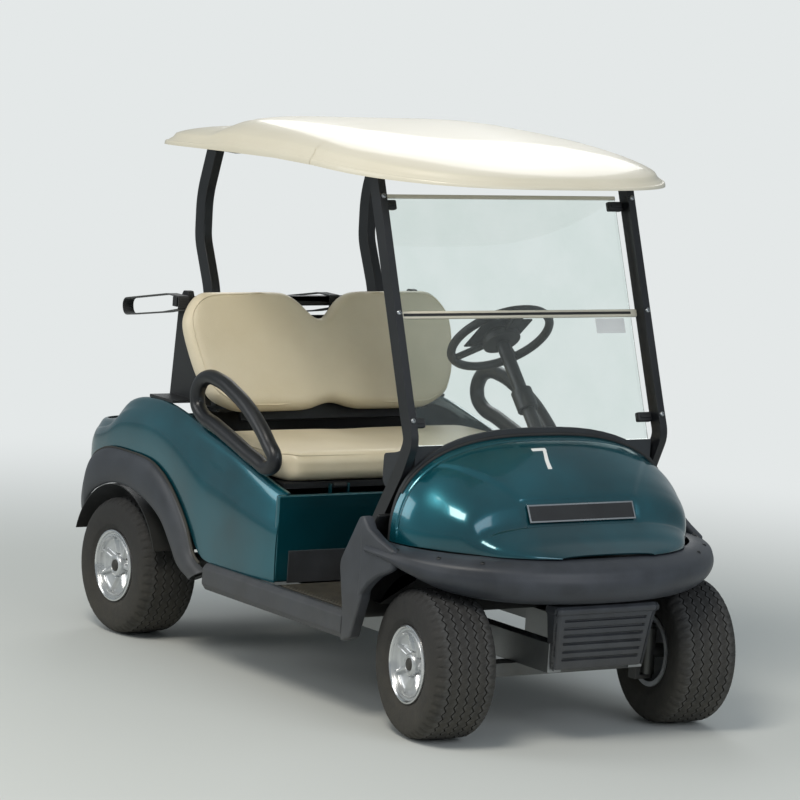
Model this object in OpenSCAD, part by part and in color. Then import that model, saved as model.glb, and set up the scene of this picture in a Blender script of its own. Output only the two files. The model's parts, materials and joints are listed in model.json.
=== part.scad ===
// Two-seat electric golf cart with a roof, folding windscreen and bag rack.
// Millimetres. +X points forward, +Y to the left, +Z up, ground at z = 0.
// Shapes are drawn from the rear axle (x = 0), and place() centres them on the cart's length.

/* [Overall] */
// Length over the bumpers
body_l = 2324; // [2280:1:2380]
// Width over the front bumper and rear fenders
body_w = 1200; // [1180:1:1260]
// Height of the roof's crown
overall_h = 1745; // [1700:1:1850]
// From the front axle to the nose of the bumper
front_overhang = 291; // [285:1:310]

/* [Running gear] */
// Distance between the axles
wheelbase = 1664; // [1640:1:1700]
// Distance between the front tyres' centres
front_track = 876; // [860:1:890]
// Distance between the rear tyres' centres
rear_track = 978; // [960:1:990]
// Outer radius of a tyre
tyre_r = 223; // [215:1:226]
// Width of a tyre
tyre_w = 208; // [190:1:212]
// Radius of the bead seat of an eight inch wheel
rim_r = 101.6; // [95:0.1:105]
// Steering angle as parked, negative to the right
steer_rest = -8; // [-20:1:20]
// From the centre plane to a kingpin
kingpin_y = 345; // [340:1:350]
// Radius of a kingpin
kingpin_r = 16; // [12:1:18]
// Radius of the front spindles
spindle_r = 12.5; // [10:0.5:15]
// Radius of the rear axle shafts
shaft_r = 17; // [14:0.5:20]

/* [Body] */
// Height of the floor pan's top
floor_z = 322; // [310:1:330]
// Wall of the moulded body panels
wall = 5; // [4:0.5:6]
// Radius of a cup holder
cup_r = 38; // [30:1:40]
// Depth of a cup holder
cup_depth = 80; // [60:1:90]
// Height of the dashboard's arch
cowl_h = 872; // [850:1:890]

/* [Seat] */
// Width of the seat cushion
seat_w = 1008; // [900:1:1012]
// Front edge of the seat cushion, from the rear axle
seat_front = 868; // [850:1:870]
// Depth of the seat cushion
seat_depth = 484; // [440:1:486]
// Thickness of the seat cushion
cushion_t = 96; // [80:1:100]
// Lean of the seat back from upright
back_lean = 23.5; // [15:0.5:26]

/* [Roof and windscreen] */
// Width of the roof
roof_w = 1140; // [1080:1:1160]
// Height of the roof's lower edge
roof_edge_z = 1618; // [1600:1:1640]
// Lean of the windscreen from upright
screen_lean = 19.9; // [15:0.1:22]
// Width of the windscreen panes
screen_w = 860; // [820:1:880]
// Thickness of the panes
pane_t = 5; // [3:0.5:6]

/* [Steering] */
// Radius of the steering wheel's rim, to the tube's centre
steering_r = 165; // [150:1:180]
// Lean of the steering column from upright
column_lean = 41; // [35:1:50]

/* [Hidden] */
$fn = 64;

F = wheelbase;
nose_x = F + front_overhang;
tail_x = nose_x - body_l;
mid_x = (nose_x + tail_x) / 2;
half_w = body_w / 2;
seat_gap = 0.3;
running_gap = 0.05;

teal = [0.07, 0.34, 0.38];
charcoal = [0.22, 0.23, 0.25];
black = [0.07, 0.07, 0.08];
cream = [0.9, 0.86, 0.76];
ivory = [0.92, 0.9, 0.84];
silver = [0.78, 0.79, 0.8];
steel = [0.45, 0.46, 0.48];
clear = [0.8, 0.9, 0.9, 0.35];

// ---- helpers ----
module place() { translate([-mid_x, 0, 0]) children(); }
module both() { children(); mirror([0, 1, 0]) children(); }

function unit(v) = v / norm(v);
function reversed(list) = [for (i = [len(list) - 1 : -1 : 0]) list[i]];

// Arc that rounds corner b between a and c
function corner_arc(a, b, c, r, n) =
  let (u = unit(a - b), v = unit(c - b), half = acos(u * v) / 2,
       o = b + unit(u + v) * r / sin(half),
       p = b + u * r / tan(half), q = b + v * r / tan(half),
       a0 = atan2(p.y - o.y, p.x - o.x), a1 = atan2(q.y - o.y, q.x - o.x),
       turn = (a1 - a0 + 900) % 360 - 180)
  [for (i = [0 : n]) o + r * [cos(a0 + turn * i / n), sin(a0 + turn * i / n)]];

// Closed outline from corners [x, y, radius]
function rounded(corners, n = 5) =
  let (m = len(corners))
  [for (i = [0 : m - 1])
    let (a = corners[(i + m - 1) % m], b = corners[i], c = corners[(i + 1) % m])
    each b[2] == 0 ? [[b.x, b.y]] :
      corner_arc([a.x, a.y], [b.x, b.y], [c.x, c.y], b[2], n)];

// Open line from points [x, y, radius], with its inner corners rounded
function rounded_line(points, n = 5) =
  let (m = len(points))
  [for (i = [0 : m - 1])
    let (b = points[i])
    each (i == 0 || i == m - 1 || b[2] == 0) ? [[b.x, b.y]] :
      let (a = points[i - 1], c = points[i + 1])
      corner_arc([a.x, a.y], [b.x, b.y], [c.x, c.y], b[2], n)];

// Normal on the left of an open line at point i
function left_normal(line, i) =
  let (a = line[max(i - 1, 0)], b = line[min(i + 1, len(line) - 1)], d = unit(b - a))
  [-d.y, d.x];
function shifted(line, d) = [for (i = [0 : len(line) - 1]) line[i] + d * left_normal(line, i)];

// Closed outline moved d to the left of its direction
function closed_shift(loop, d) =
  let (m = len(loop))
  [for (i = [0 : m - 1])
    let (u = unit(loop[(i + 1) % m] - loop[(i + m - 1) % m]))
    loop[i] + d * [-u.y, u.x]];

// Closed strip of width w round an open line
function strip(line, w) = concat(shifted(line, w / 2), reversed(shifted(line, -w / 2)));
// Closed ring between an open outer line and its copy d to the left
function skin(line, d) = concat(line, reversed(shifted(line, d)));

// Solid through rings of equal point counts. A hollow ring is an outer line and its inner line back.
module loft(rings, hollow = false) {
  n = len(rings[0]);
  m = len(rings);
  sides = [for (i = [0 : m - 2], j = [0 : n - 1])
    let (k = (j + 1) % n, a = i * n)
    each [[a + j, a + k, a + n + k], [a + j, a + n + k, a + n + j]]];
  last = (m - 1) * n;
  caps = hollow
    ? [for (i = [0 : n / 2 - 2]) let (a = i, b = i + 1, c = n - 2 - i, d = n - 1 - i)
        each [[d, c, b], [d, b, a], [last + a, last + b, last + c], [last + a, last + c, last + d]]]
    : [reversed([for (j = [0 : n - 1]) j]), [for (j = [0 : n - 1]) last + j]];
  polyhedron([for (r = rings) each r], concat(sides, caps), convexity = 8);
}

// Upright ring: q.x runs along direction u from point p, q.y is height
function upright(ring, p, u) = [for (q = ring) [p.x + u.x * q.x, p.y + u.y * q.x, q.y]];

// Plate with an outline in x and z, from y0 to y1
module side_plate(outline, y0, y1) {
  translate([0, y1, 0]) rotate([90, 0, 0]) linear_extrude(y1 - y0) polygon(outline);
}
// Box from corner a to corner b
module block(a, b) { translate(a) cube(b - a); }
// Cylinder along y
module bar_y(x, z, r, y0, y1) {
  translate([x, y1, z]) rotate([90, 0, 0]) cylinder(r = r, h = y1 - y0);
}
module bar_z(x, y, r, z0, z1) { translate([x, y, z0]) cylinder(r = r, h = z1 - z0); }

// ---- chassis ----
rail_y = 300;
rail_w = 50;
rail_h = 90;
rail_top = floor_z - 12;
rail_z = rail_top - rail_h / 2;
rail_front = F - 284;
rear_rail_z = rail_z + 105;
nose_rail_y = 150;
nose_rail_front = nose_x - 100;

module chassis_rails() {
  main_line = [[rail_front, rail_z], [360, rail_z], [240, rear_rail_z], [tail_x + 16 + seat_gap, rear_rail_z]];
  color(steel) place() both() {
    side_plate(strip(main_line, rail_h), rail_y - rail_w / 2, rail_y + rail_w / 2);
    block([rail_front - 60, nose_rail_y - rail_w / 2, rail_z - rail_h / 2],
          [nose_rail_front, nose_rail_y + rail_w / 2, rail_top]);
  }
}

member_t = 50;
module chassis_crossmembers() {
  // Columns: rear face x, middle height
  members = [[tail_x + 70, rear_rail_z], [-190, rear_rail_z], [160, rear_rail_z], [420, rail_z], [860, rail_z]];
  color(steel) place() {
    for (m = members)
      block([m[0], -rail_y + rail_w / 2, m[1] - 25], [m[0] + member_t, rail_y - rail_w / 2, m[1] + 25]);
    // Outrigger that joins the main rails to the nose rails
    both() block([rail_front - 60, nose_rail_y + rail_w / 2, rail_z - 25],
                 [rail_front, rail_y - rail_w / 2, rail_z + 25]);
    block([F + 120, -nose_rail_y + rail_w / 2, rail_z - 25], [F + 160, nose_rail_y - rail_w / 2, rail_z + 25]);
    // Battery tray
    block([battery_x0 - 10, -battery_y, rail_top], [battery_x1 + 10, battery_y, rail_top + 3]);
  }
}

battery_x0 = 390;
battery_x1 = 840;
battery_y = 400;
battery_h = 255;
module battery_pack() {
  color(black) place()
    block([battery_x0, -battery_y + 10, rail_top + 3], [battery_x1, battery_y - 10, rail_top + 3 + battery_h]);
}

// ---- floor and sides ----
floor_t = 12;
mat_t = 8;
floor_half_w = half_w - 55;
plinth_x = 915;
toe_x = F - 290;
toe_top = [F - 205, 640];
toe_bend_z = 475;
module floor_pan() {
  line = rounded_line([[plinth_x - 20, floor_z - floor_t / 2, 0], [toe_x + 6, floor_z - floor_t / 2, 18],
    [toe_x + 6, toe_bend_z, 20], [toe_top.x, toe_top.y, 0]]);
  color(charcoal) place() side_plate(strip(line, floor_t), -floor_half_w, floor_half_w);
}

mat_front = toe_x - 22;
module floor_mat() {
  color(black) place() block([plinth_x + 8, -floor_half_w + 20, floor_z],
                             [mat_front, floor_half_w - 20, floor_z + mat_t]);
}

sill_rear = 562;
sill_front = F - 300;
sill_bottom = 246;
sill_outer = half_w - 10;
sill_inner = floor_half_w + 0.3;
module sills() {
  // Section in y and z
  section = rounded([[sill_inner, sill_bottom + 14, 0], [sill_outer - 16, sill_bottom, 8],
    [sill_outer, sill_bottom + 22, 10], [sill_outer, floor_z - 4, 12], [sill_outer - 14, floor_z + 12, 8],
    [sill_inner, floor_z + 8, 0]]);
  color(charcoal) place() both() translate([sill_rear, 0, 0]) rotate([90, 0, 90])
    linear_extrude(sill_front - sill_rear) polygon(section);
}

post_t = 38;
module kick_posts() {
  outline = rounded([[sill_front + seat_gap, sill_bottom - 4, 0], [F - 250, 262, 14], [F - 206, 385, 30],
    [bumper_side_x - seat_gap, 500, 0], [bumper_side_x - seat_gap, 600, 10], [F - 226, 650, 20],
    [F - 330, 480, 60], [sill_front + seat_gap, 330, 8]]);
  color(charcoal) place() both() side_plate(outline, half_w - 48, half_w - 48 + post_t);
}

// ---- front bodywork ----
cowl_rear = F - 174;
joint_z = 566;
cowl_power = 2.6;
function arch_point(w, z0, z1, t, power) =
  [w * sign(cos(t)) * pow(abs(cos(t)), 2 / power), z0 + (z1 - z0) * pow(abs(sin(t)), 2 / power)];
function arch_line(w, z0, z1, power, n = 24) =
  [for (i = [0 : n]) arch_point(w, z0, z1, 180 - 180 * i / n, power)];

// Cowl stations. Columns: distance ahead of the cowl's rear edge, half width, height, squareness
cowl_stations = [[0, 520, cowl_h, cowl_power], [70, 508, cowl_h - 34, 2.7], [140, 474, cowl_h - 82, 2.9],
  [190, 444, cowl_h - 124, 3.3], [228, 414, cowl_h - 166, 3.8], [258, 388, cowl_h - 226, 3.8],
  [320, 334, cowl_h - 262, 3.2], [366, 252, cowl_h - 284, 2.8], [392, 170, cowl_h - 296, 2.6]];
module front_cowl() {
  rings = [for (s = cowl_stations)
    upright(skin(arch_line(s[1], joint_z, s[2], s[3]), -wall), [cowl_rear + s[0], 0], [0, 1])];
  color(teal) place() loft(rings, true);
}

// Bumper plan: straight sides, then a rounded nose
bumper_side_x = F - 190;
bumper_power = 2.1;
roll_top = joint_z - 3;
bumper_round_x = F - 180;
function bumper_plan(t) =
  [bumper_round_x + (nose_x - bumper_round_x) * pow(abs(cos(t)), 2 / bumper_power),
   half_w * sign(sin(t)) * pow(abs(sin(t)), 2 / bumper_power)];
function bumper_inward(t) = -unit([cos(t) * pow(abs(cos(t)), 0.2) + 0.001, sin(t)]);
// Columns: sweep angle, lower edge height
bumper_edge = [[0, 428], [20, 428], [40, 434], [58, 452], [72, 486], [82, 512], [90, 524]];
function edge_height(t) = lookup(abs(t), bumper_edge);
bumper_depth = 80;
function bumper_ring(t, p, low) =
  let (mid = (low + roll_top) / 2, h = (roll_top - low) / 2,
       line = [for (i = [0 : 12]) let (a = -90 + 15 * i) [bumper_depth * (1 - cos(a)), mid + h * sin(a)]])
  upright(skin(line, -wall), p, bumper_inward(t));
module front_bumper() {
  sweep = [for (i = [-9 : 9]) i * 10];
  rings = concat(
    [upright_side(-1)], [for (t = sweep) bumper_ring(t, bumper_plan(t), edge_height(t))], [upright_side(1)]);
  color(charcoal) place() loft(rings, true);
}
function upright_side(side) = bumper_ring(90 * side, [bumper_side_x, side * half_w], edge_height(90) - 4);

box_half_w = 186;
box_top = 424;
box_bottom = 231;
module bumper_box() {
  outline = rounded([[nose_rail_front + 0.3, box_bottom + 20, 10], [F + 176, box_bottom, 12], [F + 222, box_top, 22],
    [nose_rail_front + 0.3, box_top, 0]]);
  groove_pitch = 24;
  color(black) place() difference() {
    side_plate([[nose_rail_front - 20, box_bottom + 14], [F + 205, box_bottom], [F + 232, box_top - 20],
      [F + 222, box_top], [nose_rail_front - 20, box_top]], -box_half_w, box_half_w);
    // Room for the nose rails
    block([nose_rail_front - 30, -box_half_w + 6, box_bottom - 5], [nose_rail_front + 0.3, box_half_w - 6, box_top - 8]);
    for (i = [0 : 5])
      translate([F + 213 + i * 3.4, -box_half_w + 26, box_bottom + 26 + groove_pitch * i])
        rotate([0, 8, 0]) cube([30, 2 * box_half_w - 52, 7]);
  }
}

liner_r = 280;
module wheel_liners() {
  color(black) place() both() {
    translate([F, half_w - 108, tyre_r]) rotate([90, 0, 0]) linear_extrude(half_w - 108 - 262)
      polygon(strip(concat([for (a = [90 : 10 : 150]) liner_r * [cos(a), sin(a)]],
        [[toe_x + floor_t + seat_gap - F, liner_r / 2]]), 4));
  }
}

dash_rise = 22;
dash_t = 12;
shelf_rear = F - 350;
module dashboard() {
  arch = arch_line(520, joint_z, cowl_h + dash_rise, cowl_power, 32);
  color(black) place() difference() {
    union() {
      translate([cowl_rear - dash_t, 0, 0]) rotate([90, 0, 90]) linear_extrude(dash_t) polygon(arch);
      side_plate(rounded([[cowl_rear - dash_t + 1, 640, 0], [cowl_rear - dash_t + 1, 846, 0],
        [shelf_rear + 60, 812, 20], [shelf_rear, 800, 14], [shelf_rear, 700, 30],
        [shelf_rear + 110, 700, 0]]), -440, 440);
    }
    // Glove bins
    for (y = [-300, 40]) block([shelf_rear + 24, y, 700], [cowl_rear - dash_t - 16, y + 190, 860]);
    // Cup holders
    for (y = [-380, 380]) bar_z(shelf_rear + 64, y, cup_r, cup_floor, cup_floor + cup_depth + 40);
  }
}
cup_floor = 726;

plate_half_w = 196;
plate_h = 56;
plate_t = 4;
module name_plate() {
  // Lies on the cowl between its fifth and sixth stations
  a = cowl_stations[4];
  b = cowl_stations[5];
  lean = atan2(b[0] - a[0], a[2] - b[2]);
  color(black) place() translate([cowl_rear + (a[0] + b[0]) / 2, 0, (a[2] + b[2]) / 2]) rotate([0, -lean, 0])
    block([seat_gap, -plate_half_w, -plate_h / 2], [seat_gap + plate_t, plate_half_w, plate_h / 2]);
}

// ---- rear bodywork ----
body_half_w = half_w - 30;
tail_wall_x = tail_x + 32;
// Belt height along the body. Columns: x, height
belt = [[-400, 668], [-134, 690], [-26, 764], [87, 790], [226, 788], [416, 749], [634, 697], [799, 645], [915, 612]];
// Lower edge of the painted panel. Columns: x, height
skirt = [[-400, 420], [-300, 470], [-190, 560], [-80, 600], [64, 606], [192, 596], [291, 556], [374, 490],
  [437, 420], [500, 345], [566, 333.6], [915, 333.6]];
// Plan of the body's right side, from the tail's middle. Columns: x, distance from the centre plane
body_plan = [[tail_wall_x, 0], [tail_wall_x, 350], [tail_wall_x + 8, 430], [tail_wall_x + 38, 500],
  [tail_wall_x + 94, body_half_w - 26], [-120, body_half_w - 4], [0, body_half_w], [120, body_half_w],
  [240, body_half_w], [340, body_half_w], [430, body_half_w], [520, body_half_w - 2], [640, body_half_w - 4],
  [760, body_half_w - 8], [850, body_half_w - 14], [plinth_x, body_half_w - 22]];
shoulder = 40;
function body_line(x) =
  let (top = lookup(x, belt), low = lookup(x, skirt), h = top - low)
  [[0, low], [-2, low + h * 0.3], [0, low + h * 0.55], [10, low + h * 0.74], [20, top - 26], [32, top - 8],
   [shoulder, top], [shoulder + 4, top]];
function plan_inward(i) =
  let (n = len(body_plan), a = body_plan[max(i - 1, 0)], b = body_plan[min(i + 1, n - 1)], d = unit(b - a))
  [d.y, d.x];
function body_ring(i, side) =
  let (p = body_plan[i], u = plan_inward(i))
  upright(skin(body_line(p.x), -wall), [p.x, side * p.y], [u.x, -side * u.y]);
module rear_body() {
  last = len(body_plan) - 1;
  // One shell from the left side round the tail to the right side
  color(teal) place() loft(concat([for (i = [last : -1 : 1]) body_ring(i, 1)], [for (i = [0 : last]) body_ring(i, -1)]), true);
}
// Seat plinth's front wall, with the lugs and pins of the seat's hinges
module seat_plinth() {
  top = plinth_top - wall - 0.5;
  lug_t = 5.5;
  wide = body_half_w - 22 - wall - 1;
  narrow = wide - shoulder - 6;
  color(teal) place() {
    block([plinth_x - 8, -wide, floor_z + seat_gap], [plinth_x - 2, wide, 480]);
    block([plinth_x - 8, -narrow, 479], [plinth_x - 2, narrow, top]);
    for (y = [-hinge_y, hinge_y]) {
      block([lid_hinge.x - 6, y - hinge_l / 2 - lug_t, top - 8], [plinth_x - 4, y + hinge_l / 2 + lug_t, top]);
      for (side = [-1, 1])
        translate([lid_hinge.x - 6, y + side * (hinge_l / 2 + lug_t / 2 + 0.5) - lug_t / 2, top - 4])
          cube([12, lug_t, lid_hinge.y + 6 - top + 4]);
      bar_y(lid_hinge.x, lid_hinge.y, hinge_pin_r - running_gap, y - hinge_l / 2 - lug_t, y + hinge_l / 2 + lug_t);
    }
  }
}
hinge_y = 300;
hinge_l = 50;
hinge_pin_r = 5;
plinth_top = 612;

// Rear fender band. Columns: inner edge x, inner edge z, outer edge x, outer edge z, distance from the centre plane
fender_stations = [[478, 262, 560, 306, 600], [400, 296, 484, 345, 600], [348, 352, 437, 420, 600],
  [278, 422, 374, 490, 600], [174, 470, 291, 556, 600], [60, 493, 192, 597, 600], [-50, 488, 64, 606, 600],
  [-150, 452, -80, 600, 599], [-222, 398, -190, 560, 587], [-258, 346, -262, 500, 564], [-274, 310, -300, 450, 550]];
fender_bulge = 22;
module rear_fenders() {
  rings = [for (s = fender_stations)
    let (scale_w = half_w / 600,
         outer = [for (i = [0 : 6]) let (a = i * 30, k = (1 - cos(a)) / 2)
           [s[0] + (s[2] - s[0]) * k, -(s[4] - fender_bulge + fender_bulge * sin(a)) * scale_w, s[1] + (s[3] - s[1]) * k]],
         inner = [for (i = [6 : -1 : 0]) let (a = i * 30, k = (1 - cos(a)) / 2)
           [s[0] + (s[2] - s[0]) * k, -(s[4] - fender_bulge + fender_bulge * sin(a)) * scale_w + wall + 0.5,
            s[1] + (s[3] - s[1]) * k]])
    concat(outer, inner)];
  color(charcoal) place() both() loft(rings, true);
}

module rear_bumper() {
  t = 16;
  line = rounded_line([[tail_x + 78, -455, 0], [tail_x + 44, -452, 30], [tail_x + t / 2, -400, 60],
    [tail_x + t / 2, 400, 60], [tail_x + 44, 452, 30], [tail_x + 78, 455, 0]]);
  color(charcoal) place() linear_z(reversed(strip(line, t)), 330, 400);
}
module linear_z(outline, z0, z1) { translate([0, 0, z0]) linear_extrude(z1 - z0) polygon(outline); }

well_floor = rear_rail_z + rail_h / 2;
well_front = 110;
well_rear = tail_wall_x + shoulder + 4 + seat_gap;
well_half_w = 370;
module bagwell() {
  color(black) place() difference() {
    block([well_rear, -well_half_w, well_floor + seat_gap], [well_front, well_half_w, 664]);
    block([well_rear + 6, -well_half_w + 6, well_floor + 6], [well_front - 6, well_half_w - 6, 700]);
  }
}

// ---- bag rack ----
rack_y = 436;
rack_top = 1142;
rack_bar = [138, 1108];
module bag_rack() {
  panel = rounded([[66, 790.3, 0], [92, 1105, 24], [116, rack_top, 12], [143, rack_top, 6],
    [205, 1000, 0], [292, 790.3, 0]]);
  color(black) place() {
    both() {
      side_plate(panel, rack_y - 11, rack_y + 11);
      block([80, rack_y - 11, lookup(87, belt) + seat_gap], [226, body_half_w - shoulder, 800]);
    }
    // Top bar and basket
    block([rack_bar.x - 13, -rack_y - 56, rack_bar.y - 15.7], [rack_bar.x + 13, rack_y + 56, rack_bar.y + 15.7]);
    difference() {
      block([-12, -270, 880], [146, 270, 1040]);
      block([-6, -264, 886], [140, 264, 1100]);
    }
    both() block([rack_bar.x - 4, 200, 1030], [rack_bar.x + 4, 230, rack_bar.y]);
  }
}

strap_w = 40;
strap_t = 4;
module bag_straps() {
  loop = rounded([[160, 1128, 8], [80, 1128, 40], [-200, 1078, 26], [-186, 1022, 26], [60, 1062, 40], [160, 1084, 8]]);
  color(black) place() both() for (y = [110, rack_y + 34])
    difference() {
      side_plate(loop, y - strap_w / 2, y + strap_w / 2);
      side_plate(closed_shift(loop, strap_t), y - strap_w, y + strap_w);
    }
}

// ---- seat ----
lid_hinge = [seat_front + 4, plinth_top + 12];
pan_t = 18;
pan_z = plinth_top + 4;
seat_rear = seat_front - seat_depth;
module seat_pan() {
  color(black) place() difference() {
    union() {
      block([seat_rear + 6, -seat_w / 2 + 8, pan_z], [seat_front - 6, seat_w / 2 - 8, pan_z + pan_t]);
      for (y = [-hinge_y, hinge_y]) {
        bar_y(lid_hinge.x, lid_hinge.y, 9, y - hinge_l / 2, y + hinge_l / 2);
        block([seat_front - 20, y - hinge_l / 2, lid_hinge.y - 5], [lid_hinge.x, y + hinge_l / 2, lid_hinge.y + 5]);
      }
    }
    for (y = [-hinge_y, hinge_y]) bar_y(lid_hinge.x, lid_hinge.y, hinge_pin_r, y - 30, y + 30);
  }
}
module seat_cushion() {
  color(cream) place() translate([0, 0, pan_z + pan_t + seat_gap])
    linear_extrude(cushion_t) polygon(rounded([[seat_rear, -seat_w / 2, 40], [seat_front, -seat_w / 2, 70],
      [seat_front, seat_w / 2, 70], [seat_rear, seat_w / 2, 40]]));
}

back_foot = [388, 795];
back_t = 75;
back_h = 385;
back_half_w = 514;
// Seat-back frame: x forward from the front face, y across, z up the back
module on_back() { translate([back_foot.x, 0, back_foot.y]) rotate([0, -back_lean, 0]) children(); }
module back_outline() {
  // Two lobes that meet at a notch, top and bottom
  polygon(rounded([[-back_half_w, 160, 150], [-440, 0, 90], [-100, -4, 60], [0, 34, 60], [100, -4, 60],
    [440, 0, 90], [back_half_w, 160, 150], [420, back_h + 12, 120], [120, back_h + 10, 90],
    [0, back_h - 96, 40], [-120, back_h + 10, 90], [-420, back_h + 12, 120]], 8));
}
module seat_back() {
  color(cream) place() on_back() rotate([90, 0, 90]) translate([0, 0, -back_t]) linear_extrude(back_t) back_outline();
}
module seat_back_panel() {
  color(black) place() {
    on_back() block([-back_t - 14, -330, -20], [-back_t - seat_gap, 330, back_h - 80]);
    // Bulkhead down to the chassis rails, and the shelf that joins it to the back
    block([228, -412, well_floor + seat_gap], [238, 412, 780]);
    block([228, -412, 770], [302, 412, 780]);
  }
}

hip_y = half_w - 36;
hip_t = 44;
module hip_rests() {
  // The lower edge lies on the body's belt
  foot = [for (x = [430, 634, 799, 898]) [x, lookup(x, belt) + seat_gap, 0]];
  outer = rounded(concat([[424, 926, 40], [356, 860, 50], [376, 790, 20]], foot,
    [[880, 700, 50], [800, 790, 60], [640, 884, 60]]), 6);
  inner = rounded([[486, 878, 20], [496, 816, 30], [560, 768, 40], [752, 722, 20], [724, 782, 30], [640, 838, 40]], 6);
  color(black) place() both() difference() {
    side_plate(outer, hip_y - hip_t, hip_y);
    side_plate(inner, hip_y - hip_t - 1, hip_y + 1);
  }
}

// ---- roof ----
roof_rear = 20;
roof_front = F - 80;
roof_mid = (roof_rear + roof_front) / 2;
roof_half_l = (roof_front - roof_rear) / 2;
roof_t = 6;
function roof_power(t) = cos(t) > 0 ? 3.2 : 9;
function roof_plan(t, s) =
  let (n = roof_power(t))
  [roof_mid + s * roof_half_l * sign(cos(t)) * pow(abs(cos(t)), 2 / n),
   s * roof_w / 2 * sign(sin(t)) * pow(abs(sin(t)), 2 / n)];
// Rise of the lower edge along the roof. Columns: x, rise
roof_edge = [[roof_rear, -8], [500, 10], [900, 20], [1235, 10], [roof_front, 6]];
// Crown height along the centre. Columns: x, height below the top
roof_crown = [[roof_rear, 60], [380, 40], [455, 6], [650, 0], [900, 8], [1250, 30], [1450, 50], [roof_front, 66]];
function roof_z(p, s) =
  let (edge = roof_edge_z + lookup(p.x, roof_edge), top = overall_h - lookup(p.x, roof_crown))
  edge + (top - edge) * pow(1 - pow(s, 4.5), 0.42);
roof_shares = [0.12, 0.35, 0.56, 0.74, 0.87, 0.94, 0.98, 0.995, 1];
function roof_ring(s, drop, inset) =
  [for (i = [0 : 47]) let (t = 7.5 * i, p = roof_plan(t, s * (1 - inset))) [p.x, p.y, roof_z(p, s) - drop]];
boss_r = 22;
rear_boss_x = 180;
rear_header_z = 1622;
// Share of the way from the roof's middle to its edge
function roof_share(p) =
  let (u = abs(p.x - roof_mid) / roof_half_l, v = abs(p.y) / (roof_w / 2), n = p.x > roof_mid ? 3.2 : 9)
  pow(pow(u, n) + pow(v, n), 1 / n);
module roof_boss(x, y, z0) {
  bar_z(x, y, boss_r, z0, roof_z([x, y], roof_share([x, y])) - roof_t + 1);
}
module roof() {
  rings = concat([for (s = roof_shares) roof_ring(s, 0, 0)],
                 [for (s = reversed(roof_shares)) roof_ring(s, s == 1 ? 0.1 : roof_t, 0.011)]);
  color(ivory) place() {
    loft(rings);
    both() {
      roof_boss(rear_boss_x, rear_strut_y, rear_header_z + seat_gap);
      roof_boss(on_screen(front_header_z).x, strut_y - 45, front_header_z + seat_gap);
    }
  }
}

// ---- roof struts ----
strut_y = 465;
strut_w = 46;
strut_t = 26;
screen_foot = [F - 194, 917];
function on_screen(z) = [screen_foot.x - (z - screen_foot.y) * tan(screen_lean), z];
strut_top_z = roof_edge_z + 14;
front_header_z = strut_top_z + 22;
module front_roof_struts() {
  line = rounded_line([[F - 342, 552, 0], [F - 296, 633, 40], [F - 214, 768, 60], [F - 172, 862, 60],
    [on_screen(940).x, 940, 40], [on_screen(strut_top_z).x, strut_top_z, 0]]);
  color(black) place() {
    both() side_plate(strip(line, strut_w), strut_y - strut_t / 2, strut_y + strut_t / 2);
    // Header bar under the roof
    let (h = on_screen(front_header_z))
      block([h.x - 22, -strut_y - strut_t / 2, strut_top_z - 8], [h.x + 22, strut_y + strut_t / 2, front_header_z]);
  }
}

rear_strut_y = 320;
module rear_roof_struts() {
  line = rounded_line([[150, well_floor + seat_gap, 0], [150, 760, 100], [84, 1140, 300], [10, 1300, 150],
    [6, 1440, 300], [58, 1598, 0]], 6);
  color(black) place() {
    both() side_plate(strip(line, 56), rear_strut_y - 16, rear_strut_y + 16);
    // Header frame under the roof
    block([rear_boss_x - 20, -rear_strut_y - 16, rear_header_z - 28], [rear_boss_x + 20, rear_strut_y + 16, rear_header_z]);
    both() block([50, rear_strut_y - 16, rear_header_z - 28], [rear_boss_x + 10, rear_strut_y + 16, rear_header_z]);
  }
}

// ---- windscreen ----
rail_mid_z = 1226;
pane_low_z = 852;
pane_top_z = 1573;
module on_pane(z) {
  p = on_screen(z);
  translate([p.x, 0, p.y]) rotate([0, -screen_lean, 0]) children();
}
pane_slope = 1 / cos(screen_lean);
pane_offset = -22;
module pane(z0, z1) {
  on_pane(z0) block([pane_offset, -screen_w / 2, 0], [pane_offset + pane_t, screen_w / 2, (z1 - z0) * pane_slope]);
}
module windscreen_upper() { color(clear) place() pane(rail_mid_z + 10, pane_top_z); }
module windscreen_lower() { color(clear) place() pane(pane_low_z, rail_mid_z - 10); }
module windscreen_rail() {
  clip_y = strut_y - strut_t / 2;
  color(ivory) place() {
    on_pane(rail_mid_z) difference() {
      block([pane_offset - 5, -clip_y, -13], [pane_offset + pane_t + 5, clip_y, 13]);
      block([pane_offset - 0.3, -screen_w / 2 - 0.3, 10], [pane_offset + pane_t + 0.3, screen_w / 2 + 0.3, 20]);
      block([pane_offset - 0.3, -screen_w / 2 - 0.3, -20], [pane_offset + pane_t + 0.3, screen_w / 2 + 0.3, -10]);
    }
    // Clips at the foot and at the top
    for (z = [917, 1545]) both() on_pane(z) difference() {
      block([pane_offset - 6, screen_w / 2 - 30, -14], [pane_offset + pane_t + 6, clip_y, 14]);
      block([pane_offset - 0.3, screen_w / 2 - 40, -20], [pane_offset + pane_t + 0.3, screen_w / 2 + 0.3, 20]);
    }
  }
}

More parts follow.
